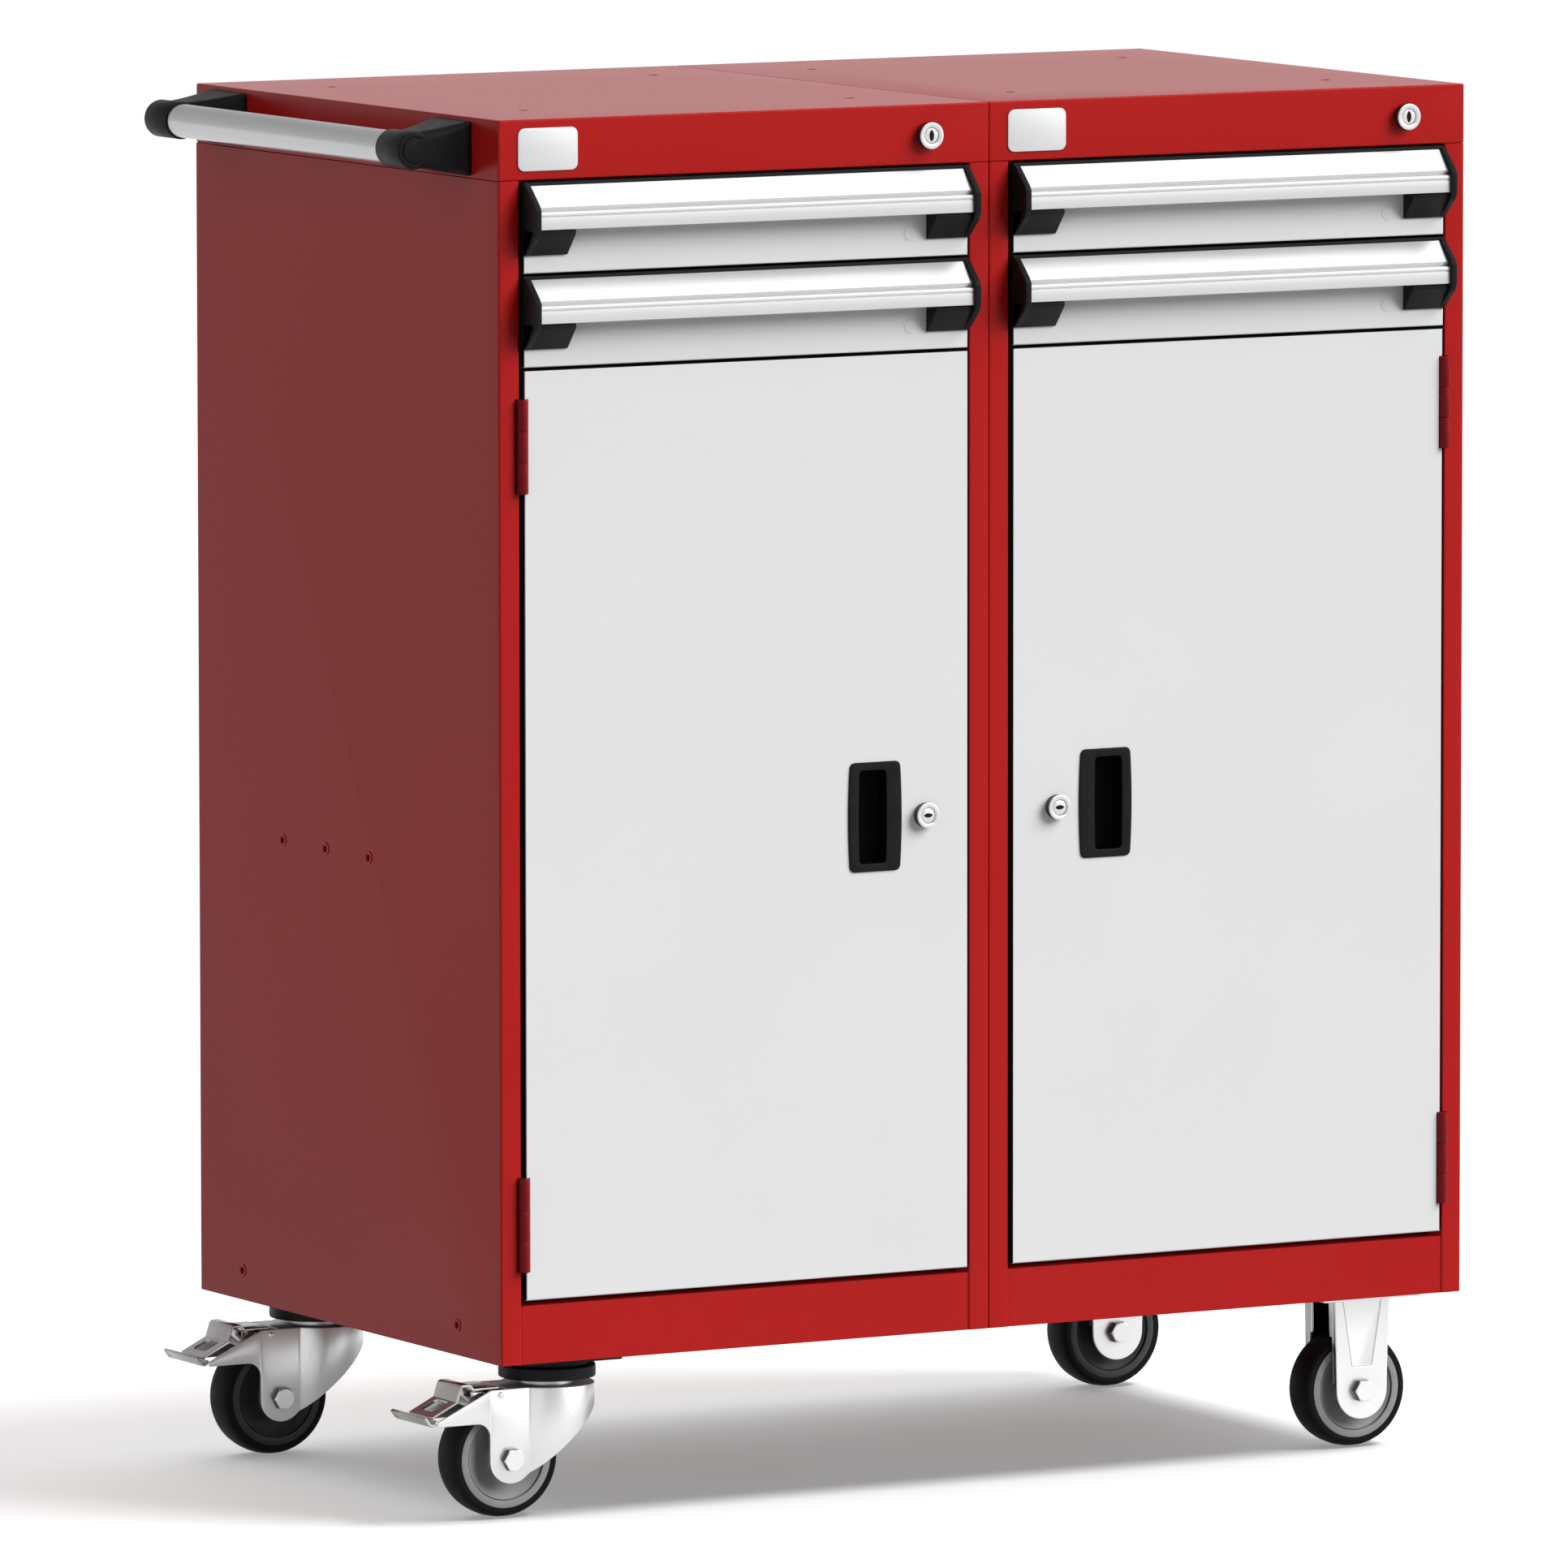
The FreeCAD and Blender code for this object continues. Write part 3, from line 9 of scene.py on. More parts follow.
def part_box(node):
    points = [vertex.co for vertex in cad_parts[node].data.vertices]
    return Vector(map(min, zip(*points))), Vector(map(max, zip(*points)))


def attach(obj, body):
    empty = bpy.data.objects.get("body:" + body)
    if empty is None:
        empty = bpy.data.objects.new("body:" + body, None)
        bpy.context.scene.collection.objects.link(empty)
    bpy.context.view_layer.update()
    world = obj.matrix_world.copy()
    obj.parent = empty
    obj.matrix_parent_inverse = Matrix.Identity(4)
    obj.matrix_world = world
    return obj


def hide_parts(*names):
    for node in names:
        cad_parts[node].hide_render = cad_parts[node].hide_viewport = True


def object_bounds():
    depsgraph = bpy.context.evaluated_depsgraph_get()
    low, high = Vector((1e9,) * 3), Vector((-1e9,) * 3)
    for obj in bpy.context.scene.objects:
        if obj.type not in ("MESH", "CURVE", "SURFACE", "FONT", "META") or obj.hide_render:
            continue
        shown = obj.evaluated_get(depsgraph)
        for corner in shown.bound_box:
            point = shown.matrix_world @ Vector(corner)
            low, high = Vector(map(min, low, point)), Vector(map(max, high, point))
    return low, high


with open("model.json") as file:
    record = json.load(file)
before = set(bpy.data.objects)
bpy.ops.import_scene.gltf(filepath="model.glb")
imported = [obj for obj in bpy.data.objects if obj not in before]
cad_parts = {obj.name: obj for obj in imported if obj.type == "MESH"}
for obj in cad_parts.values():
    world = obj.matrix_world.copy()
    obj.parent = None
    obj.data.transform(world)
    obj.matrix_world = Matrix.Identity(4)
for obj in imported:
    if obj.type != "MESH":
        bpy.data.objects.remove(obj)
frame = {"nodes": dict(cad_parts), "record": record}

cadBounds = [list(corner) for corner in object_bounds()]
nodes = frame["nodes"]
bodyOf = {n: b for b, members in frame["record"]["behaviour"]["bodies"].items() for n in members}
slotOf = {s["node"]: s["material_slot"] for s in frame["record"]["subparts"]}
mm = 0.001
xAxis, yAxis, zAxis = np.eye(3)
# Two directions across and one along, for pieces drawn out along X, against Y and up Z.
alongX, alongY, alongZ = (yAxis, zAxis, xAxis), (xAxis, zAxis, -yAxis), (xAxis, yAxis, zAxis)
sideNames, rowNames = ("left", "right"), ("front", "rear")
drawerNames = [f"{side}_{level}_drawer" for side in sideNames for level in ("lower", "upper")]
print("frame loaded:", len(nodes), "nodes")


# Materials

def setInput(tree, socket, value):
    # Another node's output is linked to the socket, any other value is set on it.
    if isinstance(value, bpy.types.NodeSocket):
        tree.links.new(value, socket)
    else:
        socket.default_value = value


def addNode(tree, kind, inputs, output=0, **settings):
    # Shader node with its settings and inputs; gives back one of its outputs.
    node = tree.nodes.new("ShaderNode" + kind)
    for name, value in settings.items():
        setattr(node, name, value)
    for socket, value in inputs.items():
        setInput(tree, node.inputs[socket], value)
    return node.outputs[output]


def mapRange(tree, value, low, high, start=0.0, end=1.0, **settings):
    # low where the value is at start, high where it is at end, and held beyond them.
    inputs = {"Value": value, "From Min": start, "From Max": end, "To Min": low, "To Max": high}
    return addNode(tree, "MapRange", inputs, "Result", **settings)


def objectNoise(tree, scale, detail=3.0, roughness=0.5, stretch=(1, 1, 1)):
    # Noise on Object coordinates, stretched along the axes.
    place = addNode(tree, "TexCoord", {}, "Object")
    place = addNode(tree, "Mapping", {"Vector": place, "Scale": stretch}, "Vector")
    inputs = {"Vector": place, "Scale": scale, "Detail": detail, "Roughness": roughness}
    return addNode(tree, "TexNoise", inputs, "Fac")


def coated(name, low, high, rough, depth, patterns, constants, ends=(0.35, 0.65)):
    # Principled material: the first pattern leads its colour from low to high, the second its
    # roughness, as noise runs from about 0.3 to 0.7, and the third is a bump whose depth is in
    # micrometres. A pattern is what objectNoise takes.
    material = bpy.data.materials.new(name)
    material.use_nodes = True
    tree = material.node_tree
    made = {pattern: objectNoise(tree, *pattern) for pattern in dict.fromkeys(patterns)}
    colour, gloss, relief = [made[pattern] for pattern in patterns]
    ramp = tree.nodes.new("ShaderNodeValToRGB")
    for element, position, tone in zip(ramp.color_ramp.elements, ends, (low, high)):
        element.position = position
        element.color = (*tone, 1)
    tree.links.new(colour, ramp.inputs["Fac"])
    bump = addNode(tree, "Bump", {"Height": relief, "Distance": depth * mm * mm}, "Normal")
    inputs = {"Base Color": ramp.outputs["Color"], "Normal": bump,
              "Roughness": mapRange(tree, gloss, *rough, 0.3, 0.7)}
    for socket, value in {**constants, **inputs}.items():
        setInput(tree, tree.nodes["Principled BSDF"].inputs[socket], value)
    return material


def paint(name, low, high, rough, peel, shine):
    # Sprayed and baked paint: faint drift in colour and gloss, and an orange-peel skin.
    return coated(name, low, high, rough, peel, ((5.0, 4.0), (60.0,), (700.0, 1.0)),
                  {"Specular IOR Level": shine})


def moulded(name, low, high, rough, grain, scale=2600.0, shine=0.14):
    # Moulded plastic or rubber: fine spark-eroded grain over a faint mottle.
    mottle = (90.0, 4.0)
    return coated(name, low, high, rough, grain, (mottle, mottle, (scale, 2.0)),
                  {"Specular IOR Level": shine})


def brushed(name, low, high, rough, depth, stretch, metal=1.0):
    # Metal with fine drawn or brushed lines along one axis; satin where it is less than metallic.
    lines = (1.0, 5.0, 0.7, stretch)
    return coated(name, low, high, rough, depth, (lines, lines, lines),
                  {"Metallic": metal, "Anisotropic": 0.3}, (0.3, 0.7))


def plated(name, low, high, rough, depth, scale, metal=1.0):
    # Plated steel: cloudy patches of gloss and tiny dents of the pressing under the plate. A dull
    # plate is less than wholly metallic.
    cloud = (scale, 6.0, 0.6)
    return coated(name, low, high, rough, depth, (cloud, cloud, (350.0, 2.0)), {"Metallic": metal})


# Each finish: its two colours, its lowest and highest roughness, its bump in micrometres, and what
# its family takes after them.
finishValues = {
    paint: {
        "redPaint": ((0.414, 0.010, 0.009), (0.422, 0.011, 0.010), (0.25, 0.26), 0.2, 0.12),
        "greyPaint": ((0.730, 0.734, 0.738), (0.742, 0.746, 0.750), (0.34, 0.42), 1, 0.20),
        # The hinges' red: the housing's red darkened as painted shade.
        "hingeRed": ((0.190, 0.0060, 0.0080), (0.200, 0.0066, 0.0086), (0.26, 0.30), 0.6, 0.10),
    },
    brushed: {
        "drawnAluminium": ((0.655, 0.66, 0.665), (0.685, 0.69, 0.695), (0.27, 0.31), 0.4,
                           (6, 1500, 1500), 0.55),
        "tubeAluminium": ((0.51, 0.515, 0.52), (0.56, 0.565, 0.57), (0.22, 0.26), 0.6,
                          (900, 5, 900)),
        "badgeAluminium": ((0.66, 0.665, 0.67), (0.72, 0.725, 0.73), (0.30, 0.38), 2,
                           (8, 1400, 1400), 0.4),
    },
    moulded: {
        "blackPlastic": ((0.0036, 0.0037, 0.0039), (0.0060, 0.0061, 0.0063), (0.40, 0.50), 20),
        "blackRubber": ((0.0022, 0.0022, 0.0023), (0.0042, 0.0042, 0.0043), (0.50, 0.62), 30,
                        1500.0, 0.10),
        # A blacker black inside the door pulls' pockets, as painted shade in the recess.
        "pocketBlack": ((0.0008, 0.0008, 0.0009), (0.0014, 0.0014, 0.0015), (0.60, 0.70), 10,
                        2600.0, 0.04),
        "greyCore": ((0.245, 0.247, 0.252), (0.265, 0.268, 0.272), (0.36, 0.46), 10, 2600.0, 0.3),
        # The rear wheels' cores: the front cores' grey darkened as painted shade.
        "darkCore": ((0.030, 0.031, 0.032), (0.040, 0.041, 0.042), (0.36, 0.46), 10, 2600.0, 0.3),
        # Black on the side and top edges of doors and drawers, as painted shade in the gaps beside
        # them.
        "edgeStrip": ((0.0040, 0.0040, 0.0042), (0.0060, 0.0060, 0.0062), (0.50, 0.60), 10,
                      2600.0, 0.06),
        # Black filling the key slots, as painted shade in the slot.
        "keySlotDark": ((0.004, 0.004, 0.004), (0.008, 0.008, 0.008), (0.5, 0.7), 20),
    },
    plated: {
        "zincPlate": ((0.76, 0.765, 0.77), (0.78, 0.785, 0.79), (0.30, 0.34), 0.6, 12.0, 0.80),
        # The axle heads' flanks: the zinc darkened as painted shade.
        "boltSide": ((0.030, 0.030, 0.031), (0.045, 0.045, 0.046), (0.30, 0.40), 0.6, 40.0, 0.20),
        "chromePlate": ((0.40, 0.385, 0.38), (0.46, 0.445, 0.44), (0.08, 0.14), 2, 40.0),
        "lockFace": ((0.72, 0.72, 0.73), (0.76, 0.76, 0.77), (0.20, 0.28), 1, 60.0, 0.50),
        # The locks' ring sides: the chrome darkened to near black as painted shade.
        "lockShell": ((0.020, 0.020, 0.021), (0.030, 0.030, 0.031), (0.28, 0.36), 1, 60.0, 0.2),
        "slideSteel": ((0.55, 0.57, 0.60), (0.62, 0.64, 0.66), (0.25, 0.36), 8, 30.0),
    },
}
finish = {name: family(name, *values) for family, table in finishValues.items()
          for name, values in table.items()}
slotFinish = {
    "red_paint": "redPaint",
    "grey_paint": "greyPaint",
    "brushed_aluminium": "drawnAluminium",
    "black_plastic": "blackPlastic",
    "zinc_steel": "zincPlate",
    "chrome_plate": "chromePlate",
    "black_rubber": "blackRubber",
}
print("materials made:", len(finish))


# Surface tools

def addObject(name, data):
    # New object with its data, in the scene.
    made = bpy.data.objects.new(name, data)
    bpy.context.scene.collection.objects.link(made)
    return made


def shadeSmooth(mesh, sharpAngle):
    # Smooth faces, with edges sharper than the angle kept hard.
    mesh.polygons.foreach_set("use_smooth", np.ones(len(mesh.polygons), bool))
    mesh.set_sharp_from_angle(angle=math.radians(sharpAngle))


def gridFaces(rows, columns, closed):
    # Quads between neighbouring points of a grid whose columns close on themselves.
    i, j = np.meshgrid(np.arange(rows if closed else rows - 1), np.arange(columns), indexing="ij")
    nextRow, nextColumn = (i + 1) % rows, (j + 1) % columns
    quads = np.stack([i * columns + j, i * columns + nextColumn,
                      nextRow * columns + nextColumn, nextRow * columns + j], -1)
    return quads.reshape(-1, 4).tolist()


def loopSurface(name, loops, material, closed=False, sharpAngle=32):
    # Skin over a stack of closed loops, given as an array of rows x points x 3. The stack is closed
    # on itself, or ends in two caps.
    loops = np.asarray(loops, float)
    rows, columns = loops.shape[:2]
    faces = gridFaces(rows, columns, closed)
    if not closed:
        faces.append(list(range(columns))[::-1])
        faces.append(list(range((rows - 1) * columns, rows * columns)))
    mesh = bpy.data.meshes.new(name)
    mesh.from_pydata(loops.reshape(-1, 3).tolist(), [], faces)
    mesh.materials.append(finish[material])
    shadeSmooth(mesh, sharpAngle)
    mesh.update()
    return addObject(name, mesh)


def flipOutwards(piece):
    # Faces of a closed skin turned to point out.
    bm = bmesh.new()
    bm.from_mesh(piece.data)
    bmesh.ops.recalc_face_normals(bm, faces=bm.faces)
    bm.to_mesh(piece.data)
    bm.free()
    return piece


def basisFor(axis):
    # Two directions across an axis, so that first x second = axis.
    axis = np.asarray(axis, float)
    first = xAxis if abs(axis[0]) < 0.9 else yAxis
    second = np.cross(axis, first)
    second /= np.linalg.norm(second)
    return np.cross(second, axis), second, axis


def turnedSurface(name, profile, centre, axis, material, segments, closed=False, sharpAngle=32):
    # Profile of (radius, height) in mm turned about an axis: p = c + r cos t u + r sin t v + h w.
    u, v, w = basisFor(axis)
    profile = np.array(profile, float) * mm
    angle = np.linspace(0, 2 * math.pi, segments, endpoint=False)
    ring = np.cos(angle)[:, None] * u + np.sin(angle)[:, None] * v
    points = (np.asarray(centre)[None, None] + profile[:, None, None, 0] * ring[None]
              + profile[:, None, None, 1] * w)
    return loopSurface(name, points, material, closed, sharpAngle)


def signedArea(outline):
    # Half the sum of x y' - y x' round an outline, positive when it runs anticlockwise.
    x, y = outline[:, 0], outline[:, 1]
    return 0.5 * np.sum(x * np.roll(y, -1) - y * np.roll(x, -1))


def setIn(outline, distance):
    # Outline moved inwards by mitred vertex normals; its points run anticlockwise.
    ahead = np.roll(outline, -1, 0) - outline
    ahead /= np.linalg.norm(ahead, axis=1)[:, None]
    normal = np.stack([ahead[:, 1], -ahead[:, 0]], 1)
    before = np.roll(normal, 1, 0)
    mitre = (normal + before) / np.maximum(1 + np.sum(normal * before, 1), 0.3)[:, None]
    return outline - mitre * distance


def cornerArc(before, corner, after, radius, steps):
    # Arc tangent to both sides of a corner, its centre on the bisector at r / sin(half the angle).
    # A corner without a radius, or all but straight, stays a point.
    a, b = before - corner, after - corner
    a, b = a / np.linalg.norm(a), b / np.linalg.norm(b)
    half = math.acos(np.clip(a @ b, -1, 1)) / 2
    if radius <= 0 or half > 1.56:
        return corner[None]
    reach = radius / math.tan(half)
    middle = corner + (a + b) / np.linalg.norm(a + b) * radius / math.sin(half)
    start, end = corner + a * reach - middle, corner + b * reach - middle
    sweep = math.atan2(start[0] * end[1] - start[1] * end[0], start @ end)
    t = np.linspace(0, sweep, steps + 1)[:, None]
    return middle + np.cos(t) * start + np.sin(t) * np.array([-start[1], start[0]])


def roundCorners(points, radii, steps):
    # Polygon whose corners become arcs, turned to run anticlockwise.
    points = np.asarray(points, float)
    corners = zip(np.roll(points, 1, 0), points, np.roll(points, -1, 0),
                  np.broadcast_to(radii, len(points)))
    outline = np.concatenate([cornerArc(*corner, steps) for corner in corners])
    return outline if signedArea(outline) > 0 else outline[::-1]


def roundedBox(x0, x1, y0, y1, radius, steps=8):
    # Rectangle with round corners.
    return roundCorners([(x0, y0), (x1, y0), (x1, y1), (x0, y1)], radius, steps)


def sideOutline(corners, face, top):
    # Outline in Y and Z from corners given in mm as reach from a face, drop from a top and radius.
    reach, drop, radius = np.array(corners).T * mm
    return roundCorners(np.stack([face - reach, top - drop], 1), radius, 4)


def placedLoops(rows, origin, across):
    # Flat loops at their heights: p = o + x u + y v + h w.
    u, v, w = across
    return [np.asarray(origin) + flat[:, :1] * u + flat[:, 1:] * v + height * w
            for flat, height in rows]


def roundedSlab(name, outline, low, high, origin, across, material, edge, steps):
    # Prism on an outline with quarter-round rims: inset e(1 - sin t) at height e(1 - cos t).
    outline = np.asarray(outline, float)
    if signedArea(outline) < 0:
        outline = outline[::-1]
    t = np.linspace(0, math.pi / 2, steps + 1)
    insets, heights = edge * (1 - np.sin(t)), edge * (1 - np.cos(t))
    rows = [(setIn(outline, i), low + h) for i, h in zip(insets, heights)]
    rows += [(setIn(outline, i), high - h) for i, h in zip(insets[::-1], heights[::-1])]
    return loopSurface(name, placedLoops(rows, origin, across), material, sharpAngle=40)


replacedNodes = set()


def addPiece(piece, body, slotName, *replaced):
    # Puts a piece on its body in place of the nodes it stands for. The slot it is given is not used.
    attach(piece, body)
    if replaced:
        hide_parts(*replaced)
    replacedNodes.update(replaced)
    return piece


def joinPieces(name, pieces):
    # One object from several meshes that already lie in place.
    bm = bmesh.new()
    for piece in pieces:
        bm.from_mesh(piece.data)
    mesh = bpy.data.meshes.new(name)
    bm.to_mesh(mesh)
    bm.free()
    mesh.materials.append(pieces[0].data.materials[0])
    for piece in pieces:
        bpy.data.objects.remove(piece)
    return addObject(name, mesh)


def boxOf(node):
    # Lowest and highest corner of a node's solids.
    low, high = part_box(node)
    return np.array(low), np.array(high)


def middleOf(node):
    # Middle of a node's box.
    return sum(boxOf(node)) / 2


def facesOf(piece):
    # Middle, normal and area of each face.
    faces = piece.data.polygons
    return [np.array([getattr(face, fact) for face in faces]) for fact in ("center", "normal", "area")]


def finishFaces(piece, material, chosen):
    # Gives the chosen faces a second material.
    piece.data.materials.append(finish[material])
    piece.data.polygons.foreach_set("material_index", chosen.astype(int))


# Sheet metal: the construction's own shapes with softened edges

# Angles in degrees and widths in mm. Faces are on one plane when they share a step of planeStep.
sheetLook = {
    "segments": 2, "flat": 0.6, "sharp": 34, "bevel": 0.35, "planeStep": 0.01, "planeShift": 0.237,
    "cornerShare": 0.9, "behind": 0.5,
    "wider": {"fixed_caster_forks": 0.9, "caster_covers": 1.4, "swivel_caster_plates": 0.6,
              "top_cap": 0.5},
}
# Where the black of painted gap shade goes: a least face area in square mm, and reaches in from the
# sides and down from the top in mm.
gapShadeLook = {"flankArea": 150, "flankReach": 12, "sideReach": 0.9, "topReach": 0.8}


def insideAny(points, corners):
    # Whether each flat point lies in any of the triangles: its three side products have one sign.
    sides = []
    for k in range(3):
        start, along = corners[None, :, k], corners[None, :, (k + 1) % 3] - corners[None, :, k]
        off = points[:, None] - start
        sides.append(along[..., 0] * off[..., 1] - along[..., 1] * off[..., 0])
    sides = np.stack(sides)
    return ((sides > -1e-12).all(0) | (sides < 1e-12).all(0)).any(1)


def touchingFaces(corners):
    # Triangles that lie against others turned the other way, where two solids meet face to face:
    # same plane, opposite normals, and the middle and three points near the corners inside them.
    look = sheetLook
    normal = np.cross(corners[:, 1] - corners[:, 0], corners[:, 2] - corners[:, 0])
    normal /= np.maximum(np.linalg.norm(normal, axis=1), 1e-15)[:, None]
    flat = np.round(normal, 2) + 0.0
    sign = np.where(flat[:, 0] != 0, flat[:, 0], np.where(flat[:, 1] != 0, flat[:, 1], flat[:, 2]))
    sign = np.where(sign > 0, 1, -1)
    offset = np.einsum("ij,ij->i", normal, corners[:, 0]) * sign / (look["planeStep"] * mm)
    keys = np.column_stack([flat * sign[:, None] + 0.0, np.floor(offset + look["planeShift"])])
    plane = np.unique(keys, axis=0, return_inverse=True)[1].ravel()
    middle = corners.mean(1)
    touching = np.zeros(len(corners), bool)
    for key in np.intersect1d(plane[sign > 0], plane[sign < 0]):
        axes = np.delete(np.arange(3), np.argmax(np.abs(normal[plane == key][0])))
        for side in (1, -1):
            own = np.nonzero((plane == key) & (sign == side))[0]
            other = corners[(plane == key) & (sign == -side)][:, :, axes]
            held = np.ones(len(own), bool)
            for reach in (corners[own, 0], corners[own, 1], corners[own, 2], middle[own]):
                spot = middle[own] + look["cornerShare"] * (reach - middle[own])
                held &= insideAny(spot[:, axes], other)
            touching[own[held]] = True
    return touching


def dressSheet(node, material, hidden=None, pressed=None):
    # Merged copy of a sheet-metal piece whose sharp edges get a small round. Faces between solids
    # that touch go, so do faces whose corners are all hidden, and pressed moves points that a finer
    # piece stands in front of.
    look = sheetLook
    mesh = nodes[node].data.copy()
    mesh.name = node + "_dressed"
    points = np.empty(len(mesh.vertices) * 3)
    mesh.vertices.foreach_get("co", points)
    points = points.reshape(-1, 3)
    triangles = np.empty(len(mesh.polygons) * 3, int)
    mesh.polygons.foreach_get("vertices", triangles)
    triangles = triangles.reshape(-1, 3)
    gone = touchingFaces(points[triangles])
    if hidden:
        gone |= hidden(points)[triangles].all(1)
    if pressed:
        mesh.vertices.foreach_set("co", pressed(points).ravel())
    bm = bmesh.new()
    bm.from_mesh(mesh)
    bm.faces.ensure_lookup_table()
    bmesh.ops.delete(bm, geom=[bm.faces[k] for k in np.nonzero(gone)[0]], context="FACES")
    bmesh.ops.remove_doubles(bm, verts=bm.verts, dist=0.000002)
    bmesh.ops.dissolve_limit(bm, angle_limit=math.radians(look["flat"]), verts=bm.verts,
                             edges=bm.edges)
    bm.to_mesh(mesh)
    bm.free()
    mesh.materials.clear()
    mesh.materials.append(finish[material])
    shadeSmooth(mesh, look["sharp"])
    piece = addObject(node + "_dressed", mesh)
    soften = piece.modifiers.new("softEdges", "BEVEL")
    soften.width = next((w for part, w in look["wider"].items() if part in node), look["bevel"]) * mm
    soften.segments = look["segments"]
    soften.limit_method = "ANGLE"
    soften.angle_limit = math.radians(look["sharp"])
    soften.use_clamp_overlap = False
    soften.harden_normals = True
    if node.endswith("_door"):
        piece.modifiers.new("flatShading", "WEIGHTED_NORMAL").keep_sharp = True
    return addPiece(piece, bodyOf[node], slotOf[node], node)


def behindWall(wall):
    # Keeps a lock's outer end just inside the sheet: y not less than the wall's y and a little.
    def press(points):
        points = points.copy()
        points[:, 1] = np.maximum(points[:, 1], wall + sheetLook["behind"] * mm)
        return points
    return press


def paintGapShade(piece, node):
    # The upright side edges and the top edge of a front are painted black, as painted shade in the
    # gaps beside and above it: large faces square to X near the sides of the node's box, and what does
    # not face forward at its sides and top.
    s = gapShadeLook
    low, high = boxOf(node)
    middles, normals, areas = facesOf(piece)
    x, y, z = np.abs(normals).T
    inward = np.minimum(middles[:, 0] - low[0], high[0] - middles[:, 0])
    chosen = (x > 0.95) & (areas > s["flankArea"] * mm * mm) & (inward < s["flankReach"] * mm)
    chosen |= (inward < s["sideReach"] * mm) & (y < 0.95) & (z < 0.3)
    chosen |= (middles[:, 2] > high[2] - s["topReach"] * mm) & (y < 0.9) & (x < 0.3)
    finishFaces(piece, "edgeStrip", chosen)


# Drawer pulls: drawn profile with rounded corners and a bead above the lip

pullShape = {
    "slopeReach": 16.0, "slopeDrop": 16.6, "wall": 1.8, "band": 2.5, "bandIn": 0.7, "notch": 1.3,
    "lipReach": 19.0, "lipTop": 20.3, "bead": 3.4, "groove": 0.6, "lipBack": 0.15,
    "lipBottom": 35.0, "backBottom": 31.2, "edge": 0.1,
}
# Moulded ends: each outline as reach, drop and corner radius, then its width and its rims.
endShape = {
    # The third value: how high the black strip of painted shade rises above the pull's top, in mm.
    "outside": 3.0, "above": 2.8, "shadeStripHigh": 2.75,
    "cap": ([(0, 1.6, 0), (2.8, 1.6, 1.0), (19.5, 17.6, 2.0), (22, 21.6, 2.0), (22, 37.8, 2.5),
             (19, 44, 3.0), (2.0, 59.5, 0.6), (0, 59.5, 0)], 5.5, 0.72),
    "wedge": ([(0, 38.2, 0), (16.8, 38.2, 1.0), (16.8, 41.8, 2.5), (2.0, 59.5, 1.2),
               (0, 59.5, 0)], 40.0, 0.8),
}


def drawerPull(name):
    # Closed section carried along X, measured from the top of the back flange: slope, narrow band,
    # notch, rounded bead, fine groove and lip.
    p = pullShape
    low, high = boxOf(name + "_pull")
    rise = p["slopeDrop"] / (p["slopeReach"] - p["wall"])
    under = p["wall"] * math.sqrt(1 + rise * rise)
    bandEnd, bandReach = p["slopeDrop"] + p["band"], p["slopeReach"] - p["bandIn"]
    notch, inside = bandReach - p["notch"], bandReach - p["notch"] - 1.0
    lipFace, lipInner = p["lipReach"] - p["lipBack"], p["lipReach"] - p["wall"]
    beadEnd, groove = p["lipTop"] + p["bead"], lipFace - p["groove"]
    corners = [
        (0, 0, 0.3), (p["wall"], 0, 0.6), (p["slopeReach"], p["slopeDrop"], 0.6),
        (bandReach, bandEnd, 0.2), (notch, bandEnd + 0.3, 0.15), (notch, p["lipTop"], 0.2),
        (p["lipReach"], p["lipTop"] + 0.1, 1.5), (p["lipReach"], beadEnd, 0.25),
        (groove, beadEnd + 0.4, 0.15), (groove, beadEnd + 1.0, 0.15), (lipFace, beadEnd + 1.5, 0.3),
        (p["lipReach"], p["lipBottom"], 0.7), (lipInner, p["lipBottom"], 0.7),
        (lipInner - 0.3, p["lipTop"] + p["wall"], 0.5), (inside, p["lipTop"] + p["wall"], 0.5),
        (inside, p["slopeDrop"] + 1.0, 0.4), (p["wall"], under, 1.0),
        (p["wall"], p["backBottom"], 0.6), (0, p["backBottom"], 0.3),
    ]
    piece = roundedSlab(name + "_pull_profile", sideOutline(corners, high[1], high[2]), low[0],
                        high[0], (0, 0, 0), alongX, "drawnAluminium", p["edge"] * mm, 1)
    addPiece(piece, name, "brushed_aluminium", name + "_pull")


def pullEnd(name, edgeX, inward):
    # End cap and the wedge under the lip, each a prism along X with rounded rims.
    face, top = boxOf(name + "_pull")[1][1:]
    pieces = []
    for label in ("cap", "wedge"):
        corners, width, edge = endShape[label]
        outline = sideOutline(corners, face, top + endShape["above"] * mm)
        start, end = sorted([edgeX, edgeX + inward * width * mm])
        pieces.append(roundedSlab(label, outline, start, end, (0, 0, 0), alongX, "blackPlastic",
                                  edge * mm, 3))
    return pieces


def topShadeStrip(name, start, end):
    # Black strip along the front's top edge, over the pull's flange: painted shade under the cap's
    # overhang.
    face, top = boxOf(name + "_pull")[1][1:]
    wall, rise, gap = pullShape["wall"] * mm, endShape["shadeStripHigh"] * mm, 0.1 * mm
    outline = [(face, top - gap), (face - wall, top - gap), (face - wall, top + 0.4 * mm),
               (face - 0.7 * wall, top + rise), (face, top + rise)]
    return roundedSlab("strip", outline, start + gap, end - gap, (0, 0, 0), alongX, "blackPlastic",
                       0.05 * mm, 1)


